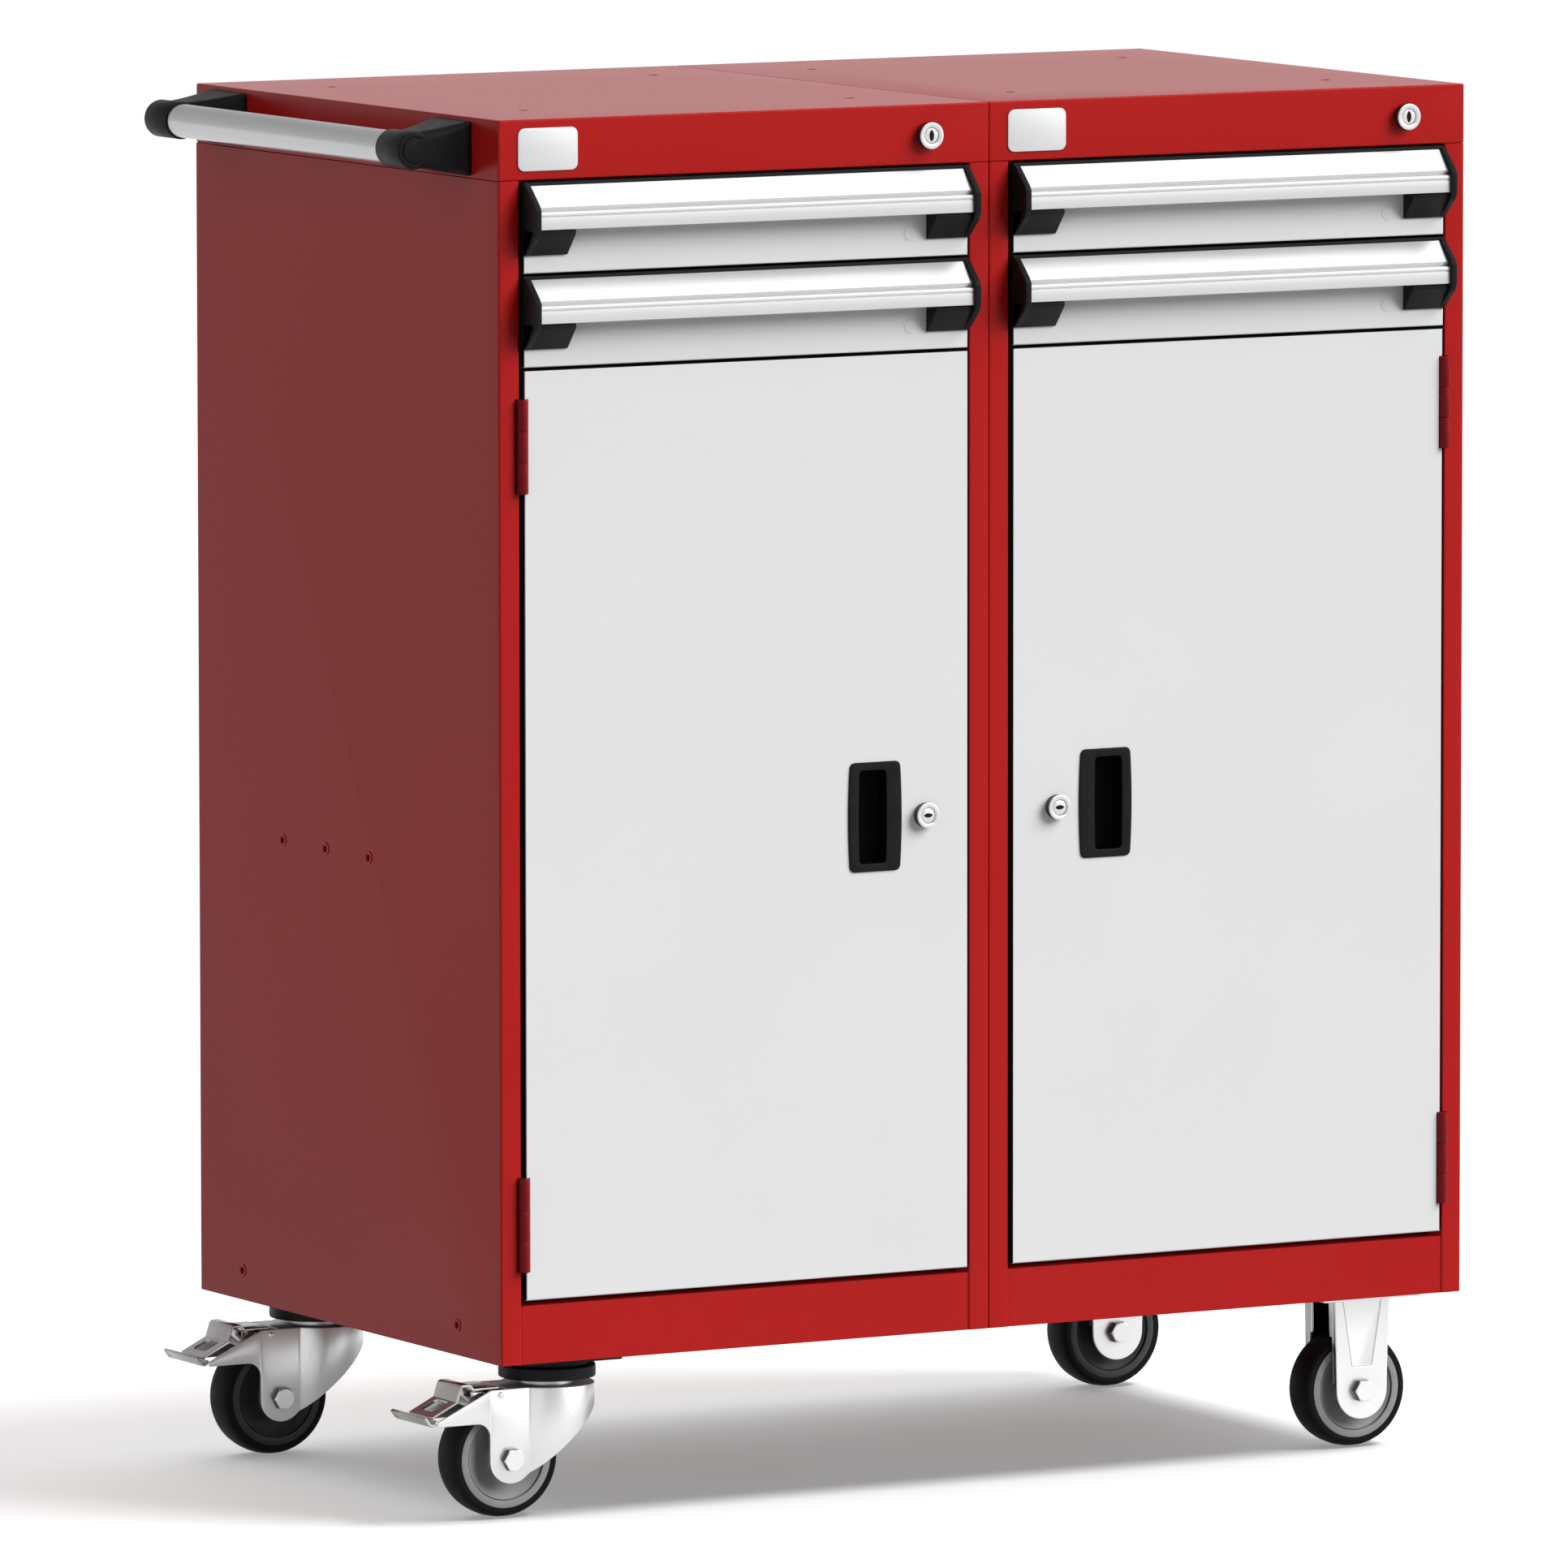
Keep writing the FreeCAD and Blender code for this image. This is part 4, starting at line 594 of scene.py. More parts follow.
def makeDrawerPulls():
    # Pull, two moulded ends and the black strip of painted shade along the top of each drawer; the
    # caps' outer sides stay within the front's own.
    for name in drawerNames:
        drawerPull(name)
        low, high = boxOf(name + "_pull_ends")
        left, right = (corner[0] for corner in boxOf(name + "_body"))
        outside = endShape["outside"] * mm
        pieces = pullEnd(name, max(low[0] - outside, left), 1)
        pieces += pullEnd(name, min(high[0] + outside, right), -1)
        pieces.append(topShadeStrip(name, left, right))
        addPiece(joinPieces(name + "_moulded_ends", pieces), name, "black_plastic",
                 name + "_pull_ends")
    print("drawer pulls made")


# Door pulls: rim, pocket and rounded lips as one stack of loops

# Each loop is inset from the rim's or the pocket's outline, at a depth behind the pull's face.
doorPullShape = {
    "belly": 1.6, "rim": 1.6, "corner": 4.0, "pocketNear": 8.5, "pocketFar": 13.5,
    "pocketHigh": 77.0, "pocketCorner": 3.0, "pocketBelly": 0.35, "points": 96, "backInset": 2.0,
    "rimLoops": [(0, 1.4), (0, 0.8), (0.25, 0.35), (0.7, 0.08), (1.3, 0)],
    "pocketLoops": [(-1.0, 0), (-0.45, 0.12), (-0.12, 0.45), (0, 1.1), (0.5, 6.6), (1.0, 12.8),
                    (1.7, 14.2), (3.2, 14.8)],
    "shadeReach": 3.3, "shadeDepth": 0.5,
}


def bowedLoop(box, inset, corner, belly, y, count):
    # Rounded rectangle whose long sides bow outwards by belly (1 - q^2), q along the side.
    x0, x1, z0, z1 = np.array(box) + np.array([1, -1, 1, -1]) * inset
    outline = roundedBox(x0, x1, z0, z1, corner)
    ends = np.vstack([outline, outline[:1]])
    length = np.concatenate([[0], np.cumsum(np.linalg.norm(np.diff(ends, axis=0), axis=1))])
    t = np.linspace(0, length[-1], count, endpoint=False)
    x, z = np.interp(t, length, ends[:, 0]), np.interp(t, length, ends[:, 1])
    middle, half = (z0 + z1) / 2, (z1 - z0) / 2
    side = (x - (x0 + x1) / 2) / ((x1 - x0) / 2)
    x = x + belly * np.sign(side) * side ** 2 * (1 - ((z - middle) / half) ** 2)
    return np.stack([x, np.full(count, y), z], 1)


def doorPull(side):
    # Rim and pocket as clockwise loops from the back of the rim over its lip down to the pocket's
    # floor. The pocket sits nearer the cabinet's left or right side, and its inside gets a blacker
    # finish as painted shade.
    p = doorPullShape
    node = side + "_door_pull"
    low, high = boxOf(node)
    x, _, z = middleOf(node)
    half = (high[0] - low[0]) / 2 - p["belly"] * mm
    rim = (x - half, x + half, low[2], high[2])
    near, far = p["pocketNear"] * mm, p["pocketFar"] * mm
    left, right = (near, far) if side == "left" else (far, near)
    tall = p["pocketHigh"] / 2 * mm
    pocket = (rim[0] + left, rim[1] - right, z - tall, z + tall)
    back = (p["backInset"], (high[1] - low[1]) / mm - 1)
    loops = []
    for box, corner, belly, rows in ((rim, p["corner"], p["belly"], [back] + p["rimLoops"]),
                                     (pocket, p["pocketCorner"], p["pocketBelly"] * p["belly"],
                                      p["pocketLoops"])):
        loops += [bowedLoop(box, inset * mm, corner * mm, belly * mm, low[1] + depth * mm,
                            p["points"]) for inset, depth in rows]
    piece = loopSurface(side + "_door_pull_moulding", np.array(loops)[:, ::-1], "blackPlastic",
                        sharpAngle=50)
    middles = facesOf(flipOutwards(piece))[0]
    reach = p["shadeReach"] * mm
    deep = (middles[:, 1] > low[1] + p["shadeDepth"] * mm) & (np.abs(middles[:, 2] - z) < tall + reach)
    deep &= (middles[:, 0] > pocket[0] - reach) & (middles[:, 0] < pocket[1] + reach)
    finishFaces(piece, "pocketBlack", deep)
    addPiece(piece, side + "_door", "black_plastic", node)


# Locks: stepped ring and a plug with its key slot

# For each kind the ring's radius, how far it stands out, and the half width and height of the slot.
lockShape = {
    "segments": 64, "bore": 6.55, "plug": 6.4, "sunk": 0.9, "slotDeep": 5.0, "lens": 0.5,
    "door": (10.5, 7.5, (4.08, 1.76)), "cap": (11.0, 8.0, (2.2, 4.8)),
}


def lockRing(name, centre, radius, reach):
    # Two turned rings: a dark shell, the chrome's side darkened as painted shade, and the bright face
    # with its rounded rim before it.
    bore, step = lockShape["bore"], reach - 1.2
    shell = [(bore, -3), (radius - 0.6, -3), (radius - 0.6, 0.2), (radius - 0.3, 0.5),
             (radius - 0.3, step), (bore, step)]
    face = [(bore, step), (radius - 0.25, step), (radius, reach - 0.8),
            (radius - 0.1, reach - 0.35), (radius - 0.5, reach - 0.08), (radius - 1.0, reach),
            (bore + 1.1, reach), (bore + 0.4, reach - 0.3), (bore, reach - 0.9)]
    return [turnedSurface(name + label, profile, centre, -yAxis, look, lockShape["segments"], True,
                          40)
            for label, profile, look in (("_shell", shell, "lockShell"), ("_face", face, "lockFace"))]


def lockPlug(name, centre, reach, slot):
    # Disc between a lens and a circle, sunk along the lens: x = w cos a, z = h sin a, its narrow way
    # times |cos a| or |sin a| ^ lens. A second, dark piece fills the lens to just under the face, as
    # painted shade in the key slot.
    s = lockShape
    angle = np.linspace(0, 2 * math.pi, s["segments"], endpoint=False)
    circle = np.stack([np.cos(angle), np.sin(angle)], 1)
    lens = circle * slot
    narrow = int(np.argmin(slot))
    lens[:, narrow] *= np.abs(circle[:, narrow]) ** s["lens"]
    front, radius = reach - s["sunk"], s["plug"]
    floor = front - s["slotDeep"]
    rows = [(circle * radius, -2.5), (circle * radius, front - 0.7),
            (circle * (radius - 0.25), front - 0.2), (circle * (radius - 0.8), front),
            (lens * 1.04, front), (lens, front - 0.3), (lens, floor + 0.4), (lens * 0.9, floor)]
    fill = [(lens * 0.98, floor + 0.6), (lens * 0.98, front - 0.6)]
    pieces = []
    for label, stack, look in ((name, rows, "lockFace"),
                               (name.replace("key_face", "keyhole"), fill, "keySlotDark")):
        loops = placedLoops([(flat * mm, height * mm) for flat, height in stack], centre, alongY)
        pieces.append(loopSurface(label, loops, look, sharpAngle=30))
    return pieces


def makeLocks():
    # The ring stays on its door or cap, and the plug turns with the lock. What is behind the sheet
    # is the construction's own.
    for side in sideNames:
        faceY = boxOf(side + "_door_pull")[0][1] + doorPullShape["rim"] * mm
        capY = boxOf(side + "_top_cap")[0][1]
        for kind, body, wall, behind in (
                ("door", side + "_door", faceY, ("_door_lock_barrel", "_door_lock_plug")),
                ("cap", "cabinet", capY, ("_cap_lock_plug",))):
            x, _, z = middleOf(side + behind[0])
            centre = np.array([x, wall, z])
            radius, reach, slot = lockShape[kind]
            for piece in lockRing(f"{side}_{kind}_lock_ring", centre, radius, reach):
                addPiece(piece, body, "chrome_plate")
            for piece in lockPlug(f"{side}_{kind}_key_face", centre, reach, slot):
                addPiece(piece, f"{side}_{kind}_lock", "chrome_plate")
            for node in behind:
                dressSheet(side + node, "chromePlate", pressed=behindWall(wall))
    dressSheet("cap_lock_barrels", "chromePlate", pressed=behindWall(capY))
    print("locks made")


# Hinges: three knuckles with small gaps and rounded ends

hingeShape = {"radius": 4.75, "gap": 0.10, "round": 0.35, "length": 76.2, "past": 0.2,
              "clear": 1.02}


def nearHinge(points):
    # Points inside a hinge's knuckle: distance from its upright axis up to the radius.
    low, high = boxOf("hinge_frame_halves")
    radius = hingeShape["radius"] * mm
    y = points[:, 1] - low[1] - radius
    sides = [np.hypot(points[:, 0] - x, y) < radius * hingeShape["clear"]
             for x in (low[0] + radius, high[0] - radius)]
    return sides[0] | sides[1]


def knuckle(x, y, z0, z1):
    # Barrel from z0 to z1 with rounded rims, in the housing's red darkened as painted shade.
    r, e = hingeShape["radius"], hingeShape["round"]
    length = (z1 - z0) / mm
    profile = [(r - e, 0), (r - 0.3 * e, 0.3 * e), (r, e), (r, length - e),
               (r - 0.3 * e, length - 0.3 * e), (r - e, length)]
    return turnedSurface("knuckle", profile, (x, y, z0), zAxis, "hingeRed", 32)


def makeHinges():
    # Outer knuckles stay on the cabinet and the middle one turns with the door. Knuckles and frame
    # halves take the housing's red darkened as painted shade.
    h = hingeShape
    low, high = boxOf("hinge_frame_halves")
    radius, gap, third = h["radius"] * mm, h["gap"], h["length"] / 3
    ends = [-h["past"], third - gap, third + gap, 2 * third - gap, 2 * third + gap,
            h["length"] + h["past"]]
    for side, x in (("left", low[0] + radius), ("right", high[0] - radius)):
        fixed, moving = [], []
        for z0 in (low[2], high[2] - h["length"] * mm):
            for group, start, end in zip((fixed, moving, fixed), ends[::2], ends[1::2]):
                group.append(knuckle(x, low[1] + radius, z0 + start * mm, z0 + end * mm))
        addPiece(joinPieces(side + "_hinge_fixed_knuckles", fixed), "cabinet", "red_paint")
        addPiece(joinPieces(side + "_hinge_door_knuckles", moving), side + "_door", "red_paint")
        # The door's side and top edges get the black of painted gap shade.
        paintGapShade(dressSheet(side + "_door", "greyPaint", hidden=nearHinge), side + "_door")
    dressSheet("hinge_frame_halves", "hingeRed", hidden=nearHinge)
    print("hinges made")


# Wheels: crowned tyre with a shoulder, and a core with a flat rim, a groove and a dish

# Half profiles of (radius, height across the wheel); the far half is their mirror.
wheelShape = {
    "segments": 112,
    "tyre": [(40.6, -15.6), (43.4, -15.9), (45.6, -15.9), (47.0, -15.0), (48.2, -12.0),
             (49.1, -7.0), (49.6, 0)],
    "core": [(5.1, -22.4), (9.0, -22.5), (9.8, -22.0), (10.4, -14.0), (12.4, -9.6), (15.0, -8.4),
             (19.0, -8.6), (33.4, -14.1), (34.2, -14.5), (34.4, -13.2), (35.2, -13.2),
             (35.3, -15.9), (36.0, -16.0), (40.2, -16.0), (41.2, -15.7)],
}


def wheelPieces(name):
    # Tyre and core turned about the axle. The rear wheels stand in shade, and their cores get a darker
    # grey as painted shade.
    core = "darkCore" if name.startswith("rear") else "greyCore"
    for label, material in (("tyre", "blackRubber"), ("core", core)):
        profile = wheelShape[label]
        profile = profile + [(r, -h) for r, h in profile[::-1] if h]
        piece = turnedSurface(f"{name}_{label}", profile, middleOf(name), yAxis, material,
                              wheelShape["segments"], True, 50)
        addPiece(piece, name, "black_rubber", name)


# Casters: bent sheet, hexagonal heads, forks and pedals. Places are (u, w) in mm from the wheel's
# axle, u along the fork and w up.

forkShape = {
    "nose": -68.0, "noseLow": 31.0, "noseHigh": 35.0, "noseAngle": 25.5, "leg": -19.8, "arch": 11.5,
    "foot": 20.0, "heel": 40.0, "bow": 39.0, "bowLow": 40.0, "pivot": 46.5, "outer": 25.5,
    "gauge": 2.5, "top": 58.5, "rim": 0.7, "crownStart": -2.0, "crownIn": 1.6,
    "neck": [(6.2, -0.3), (22.0, -0.3), (22.0, 3.4), (21.0, 4.1), (6.2, 4.1)],  # up from the top
}
axleShape = {"radius": 5.0, "flats": 17.0, "height": 6.4, "headReach": 10.5, "clear": 0.1,
             "holeReach": 10.2, "holeWide": 60, "holeIn": 0.4}
pedalShape = {
    "pivot": (-10.0, 54.0), "pin": 2.5, "pinHalf": 26.8, "barrel": 4.0, "gauge": 2.4, "half": 20.0,
    "arm": [(-9.0, 58.8), (-32.5, 58.8), (-36.0, 62.6), (-43.6, 62.6), (-47.6, 49.4)],
    "armBends": [2.5, 2.4, 3.0], "armEdge": 0.5,
    "padStart": (-44.6, 50.8), "padEnd": (-71.6, 37.6), "padEdge": 0.5,
    "windowStart": 6, "windowEnd": 8, "windowHalf": 11,
    "lip": [(-70.6, 36.6), (-73.6, 33.6), (-77.4, 33.4), (-82.4, 40.4)],
    "lipBends": [2.4, 4.5], "lipHalf": 30.0, "lipEdge": 0.9,
    "shoe": [(-32.0, 57.0), (-32.0, 43.2), (-26.0, 46.6), (-20.0, 49.6), (-20.0, 57.6)],
    "shoeHalf": 14, "shoeEdge": 0.6,
}


def fromAxle(axle, u, w):
    # Point u mm along the fork and w mm up from an axle's middle.
    return axle + np.array([u, 0, w]) * mm


def sideNormals(path):
    # Unit normals on the left of an open line, averaged at its points and stretched at the bends.
    ahead = np.diff(path, axis=0)
    ahead /= np.linalg.norm(ahead, axis=1)[:, None]
    left = np.stack([-ahead[:, 1], ahead[:, 0]], 1)
    before = np.vstack([left[:1], left])
    after = np.vstack([left, left[-1:]])
    return (before + after) / np.maximum(1 + np.sum(before * after, 1), 0.4)[:, None]


def bentSheet(name, path, radii, gauge, half, axle, edge):
    # Sheet of one gauge on a line with rounded bends: p +- g/2 n, drawn out across the fork.
    path = np.asarray(path, float)
    bends = [cornerArc(*corner, 6) for corner in zip(path, path[1:], path[2:], radii)]
    line = np.concatenate([path[:1], *bends, path[-1:]])
    normal = sideNormals(line)
    outline = np.vstack([line + normal * gauge / 2, (line - normal * gauge / 2)[::-1]]) * mm
    return roundedSlab(name, outline, -half * mm, half * mm, axle, alongY, "chromePlate", edge * mm,
                       2)


def holedSlab(name, outer, inner, half, origin, across, material, edge):
    # Plate with one hole: eight loops round its section, rims cut back by edge.
    rows = [(setIn(outer, edge), -half), (outer, edge - half), (outer, half - edge),
            (setIn(outer, edge), half), (setIn(inner, -edge), half), (inner, half - edge),
            (inner, edge - half), (setIn(inner, -edge), -half)]
    return loopSurface(name, placedLoops(rows, origin, across), material, True, 40)


def axleHeads(axle):
    # Hexagon cut by a cone at both ends: r = min(f / (2 cos a), c + (h - z) / tan 30), a from the
    # nearest flat.
    flats, height = axleShape["flats"], axleShape["height"]
    angle = np.linspace(0, 2 * math.pi, 72, endpoint=False)
    hexagon = flats / 2 / np.cos(angle % (math.pi / 3) - math.pi / 6)
    cone = flats / 2 * 0.96
    heads = []
    for sign in (-1, 1):
        u, v, w = basisFor(yAxis * sign)
        ring = np.cos(angle)[:, None] * u + np.sin(angle)[:, None] * v
        rows = [(np.minimum(hexagon, cone + (height - z) / math.tan(math.radians(30))), z)
                for z in (0, height - 1.5, height - 1.1, height - 0.7, height - 0.35, height)]
        rows.append((np.full(72, cone * 0.9), height))
        centre = axle + w * forkShape["outer"] * mm
        loops = [centre + r[:, None] * mm * ring + z * mm * w for r, z in rows]
        heads.append(loopSurface("head", loops, "zincPlate", sharpAngle=24))
    return heads


def roundBar(name, radius, half, centre, material):
    # Round bar across the fork with its rims cut back.
    edge = 0.4
    profile = [(radius - edge, -half), (radius, edge - half), (radius, half - edge),
               (radius - edge, half)]
    return turnedSurface(name, profile, centre, yAxis, material, 32, sharpAngle=50)


def sideFacets(piece, axles):
    # The flanks of the hexagonal heads are darkened as painted shade: faces near an axle's line,
    # outside the fork, that do not face along it.
    middles, normals, _ = facesOf(piece)
    near = np.zeros(len(middles), bool)
    for axle in axles:
        x, y, z = np.abs(middles - axle).T
        near |= (np.hypot(x, z) < axleShape["headReach"] * mm) & (
            y > (forkShape["outer"] + axleShape["clear"]) * mm)
    finishFaces(piece, "boltSide", near & (np.abs(normals[:, 1]) < 0.4))


def forkColumns():
    # (u, y, low, high) round the fork from one nose over the bow to the other.
    f = forkShape
    heel = math.radians(f["heel"])
    archU, archW = f["leg"] - f["arch"], f["noseLow"] - f["arch"]
    t = np.linspace(0, math.pi / 2, 12)
    footStart = math.pi + math.asin(math.sqrt(1 - (f["leg"] / f["foot"]) ** 2))
    a = np.linspace(footStart, 1.5 * math.pi + heel, 36)
    leg = [(u, f["noseLow"]) for u in np.linspace(f["nose"], archU, 10)[:-1]]
    leg += list(zip(archU + f["arch"] * np.sin(t), archW + f["arch"] * np.cos(t)))
    leg += list(zip(np.maximum(f["foot"] * np.cos(a), f["leg"] + 0.03), f["foot"] * np.sin(a)))
    heelU, heelW = leg[-1]
    bend = f["pivot"] - math.sqrt(f["bow"] ** 2 - f["outer"] ** 2)
    rise = math.tan(heel)
    leg += [(u, heelW + (u - heelU) * rise) for u in np.linspace(heelU, bend, 4)[1:-1]]
    leg = [(u, -f["outer"], low) for u, low in leg]
    half = math.pi - math.acos((f["pivot"] - bend) / f["bow"])
    bow = []
    for angle in np.linspace(-half, half, 97):
        u, y = f["pivot"] + f["bow"] * math.cos(angle), f["bow"] * math.sin(angle)
        bow.append((u, y, min(heelW + (u - heelU) * rise, f["bowLow"])))
    far = [(u, -y, low) for u, y, low in leg[::-1]]
    columns = np.array(leg + bow + far)
    nose = f["noseHigh"] + (columns[:, 0] - f["nose"]) * math.tan(math.radians(f["noseAngle"]))
    return np.column_stack([columns, np.minimum(nose, f["top"])])


def forkShell(axle):
    # Pressed sheet: for each column the points (y - d n, w) run once round its section. A crown
    # closes the top behind crownStart.
    f = forkShape
    columns = forkColumns()
    inward = sideNormals(columns[:, :2])
    g, e = f["gauge"], f["rim"]
    loops = []
    for (u, y, low, high), n in zip(columns, inward):
        section = [(0, low + e), (0, high - e), (e * 0.3, high - e * 0.3), (e, high), (g - e, high),
                   (g, high - e), (g, low + e), (g - e, low), (e, low), (e * 0.3, low + e * 0.3)]
        loops.append([axle + np.array([u + n[0] * d, y + n[1] * d, w]) * mm for d, w in section])
    shell = flipOutwards(loopSurface("shell", loops, "zincPlate", sharpAngle=55))
    plan = (columns[:, :2] + inward * f["crownIn"])[columns[:, 0] > f["crownStart"]]
    crown = roundedSlab("crown", plan * mm, (f["top"] - g) * mm, (f["top"] - 0.05) * mm, axle,
                        alongZ, "zincPlate", 0.4 * mm, 2)
    return [shell, crown]


def swivelFork(row):
    # Shell, crown and neck with the axle, its heads and the pedal's pin, as one piece.
    name, f, p = row + "_swivel_fork", forkShape, pedalShape
    axle = middleOf(row + "_left_wheel")
    neck = [(r, f["top"] + w) for r, w in f["neck"]]
    pieces = forkShell(axle)
    pieces.append(turnedSurface("neck", neck, fromAxle(axle, f["pivot"], 0), zAxis, "zincPlate", 64,
                                True, 40))
    pieces.append(roundBar("axle", axleShape["radius"], f["outer"], axle, "zincPlate"))
    pieces += axleHeads(axle)
    pieces.append(roundBar("pin", p["pin"], p["pinHalf"], fromAxle(axle, *p["pivot"]), "zincPlate"))
    whole = addPiece(joinPieces(name + "_pressed", pieces), row + "_swivel", "zinc_steel", name)
    sideFacets(whole, [axle])


def brakePedal(row):
    # Barrel on the pin, bent arm, pad with its window, bent lip, and the shoe over the tyre.
    name, p = row + "_brake_pedal", pedalShape
    axle = middleOf(row + "_left_wheel")
    half = p["half"]
    start, end = np.array(p["padStart"]), np.array(p["padEnd"])
    length = np.linalg.norm(end - start)
    along = (end - start) / length
    down = np.array([along[0], 0, along[1]])
    a, b, c = p["windowStart"], length - p["windowEnd"], p["windowHalf"]
    outer = roundedBox(0, length, -half, half, 2.0, 5)
    inner = roundedBox(a, b, -c, c, 4.0, 5)
    shoe = roundCorners(p["shoe"], 0.6, 3)
    pieces = [
        roundBar("barrel", p["barrel"], half, fromAxle(axle, *p["pivot"]), "chromePlate"),
        bentSheet("arm", p["arm"], p["armBends"], p["gauge"], half, axle, p["armEdge"]),
        holedSlab("pad", outer * mm, inner * mm, p["gauge"] / 2 * mm, fromAxle(axle, *start),
                  (down, yAxis, np.cross(down, yAxis)), "chromePlate", p["padEdge"] * mm),
        bentSheet("lip", p["lip"], p["lipBends"], p["gauge"], p["lipHalf"], axle, p["lipEdge"]),
        roundedSlab("shoe", shoe * mm, -p["shoeHalf"] * mm, p["shoeHalf"] * mm, axle, alongY,
                    "chromePlate", p["shoeEdge"] * mm, 2),
    ]
    addPiece(joinPieces(name + "_pressed", pieces), row + "_brake", "chrome_plate", name)


def besideAxle(points):
    # Fixed forks: points near an axle's line come in to a little inside the leg's face.
    s = axleShape
    points = points.copy()
    for row in rowNames:
        axle = middleOf(row + "_right_wheel")
        x, y, z = np.abs(points - axle).T
        close = (np.hypot(x, z) < s["holeReach"] * mm) & (y < s["holeWide"] * mm)
        reach = (forkShape["outer"] - s["holeIn"]) * mm
        points[close, 1] = np.clip(points[close, 1], axle[1] - reach, axle[1] + reach)
    return points


def makeCasters():
    # Swivel casters on the left; on the right the dressed fixed forks with new axle heads.
    for row in rowNames:
        for side in sideNames:
            wheelPieces(f"{row}_{side}_wheel")
        swivelFork(row)
        brakePedal(row)
    dressSheet("fixed_caster_forks", "zincPlate", pressed=besideAxle)
    axles = [middleOf(row + "_right_wheel") for row in rowNames]
    heads = joinPieces("fixed_axle_heads", [head for axle in axles for head in axleHeads(axle)])
    sideFacets(addPiece(heads, "cabinet", "zinc_steel"), axles)
    print("casters made")


# Push handle: tube, lofted brackets and sleeves. Each section is (reach from the wall, inner end,
# outer end, half height, corner), its ends measured from the handle's middle. The sleeve's profile
# is (radius, height), in from its outside and up from its inner end or down from its outer end.

handleShape = {
    "sleeve": 15.5, "tube": 14.0, "tubeWall": 1.5, "sleeveInner": 186.0, "sleeveLong": 40.0,
    "sections": [(0, 165.2, 229.8, 21.8, 3.5), (0.6, 165, 230, 22.0, 3.5),
                 (4.4, 165.4, 229.8, 21.8, 3.5), (6.5, 166.6, 229.4, 21.2, 4.5),
                 (14, 170.0, 228.6, 19.6, 6), (24, 174.4, 227.8, 17.7, 7),
                 (36, 180.0, 226.8, 15.7, 8), (50, 186.4, 225.4, 14.0, 8)],
    "sleeveStart": [(1.45, 0), (0.4, 0.1), (0, 0.8)],
    "sleeveEnd": [(0, 2.2), (0.45, 0.8), (1.6, 0.1), (3.4, 0), (4.2, 0.2), (4.5, 1.1), (5.1, 1.1),
                  (5.4, 0.3), (6.2, 0.1)],
}


def makeHandle():
    # Bright tube turned along Y, and at each end a bracket lofted out from the wall with a sleeve.
    h = handleShape
    low, high = boxOf("push_handle_tube")
    x, y, z = middleOf("push_handle_tube")
    length, bore = (high[1] - low[1]) / mm, h["tube"] - h["tubeWall"]
    profile = [(bore, 0), (h["tube"], 0), (h["tube"], length), (bore, length)]
    tube = turnedSurface("push_handle_bright_tube", profile, (x, low[1], z), yAxis, "tubeAluminium",
                         72, True, 40)
    addPiece(tube, "cabinet", "brushed_aluminium", "push_handle_tube")
    wall = boxOf("left_outer_side")[0][0]
    sleeve = [(h["sleeve"] - r, up) for r, up in h["sleeveStart"]]
    sleeve += [(h["sleeve"] - r, h["sleeveLong"] - down) for r, down in h["sleeveEnd"]]
    pieces = []
    for sign in (-1, 1):
        loops = []
        for reach, inner, outer, tall, corner in h["sections"]:
            y0, y1 = sorted((y + sign * inner * mm, y + sign * outer * mm))
            flat = roundedBox(y0, y1, z - tall * mm, z + tall * mm, corner * mm)
            loops.append(np.column_stack([np.full(len(flat), wall - reach * mm), flat]))
        pieces.append(flipOutwards(loopSurface("neck", loops, "blackPlastic", sharpAngle=60)))
        start = (x, y + sign * h["sleeveInner"] * mm, z)
        pieces.append(turnedSurface("sleeve", sleeve, start, yAxis * sign, "blackPlastic", 72,
                                    sharpAngle=40))
    addPiece(joinPieces("handle_moulded_brackets", pieces), "cabinet", "black_plastic",
             "handle_brackets")
    print("push handle made")


# Small trim: badges, inserts and the drawers' hole plugs

trimShape = {
    "badgeIn": 17.5, "badgeWide": 55, "badgeCorner": 6, "badgeThick": 1.2, "badgeEdge": 0.5,
    "insertWall": 0.8, "insertRadius": 5.5, "lowSpread": 190.5, "highFirst": 38.4, "pitch": 76.2,
    "insert": [(2.9, -9), (4.3, -9), (4.3, 0), (5.4, 0.05), (5.5, 0.4), (5.2, 0.75), (3.6, 0.8),
               (3.0, 0.5), (2.9, 0)],
    "plugIn": 76.2, "plugUp": 19.5,
    "plug": [(4.9, -1.0), (5.0, -0.1), (5.6, 0.0), (5.7, 0.15), (5.5, 0.32), (4.6, 0.4)],
}


def makeBadges():
    # Plain rounded plates on the caps.
    s = trimShape
    low, high = boxOf("badge_plates")
    pieces = []
    for side in sideNames:
        x0 = boxOf(side + "_top_cap")[0][0] + s["badgeIn"] * mm
        outline = roundedBox(x0, x0 + s["badgeWide"] * mm, low[2], high[2], s["badgeCorner"] * mm)
        pieces.append(roundedSlab("badge", outline, 0, s["badgeThick"] * mm, (0, high[1], 0), alongY,
                                  "badgeAluminium", s["badgeEdge"] * mm, 3))
    addPiece(joinPieces("plain_badges", pieces), "cabinet", "brushed_aluminium", "badge_plates")


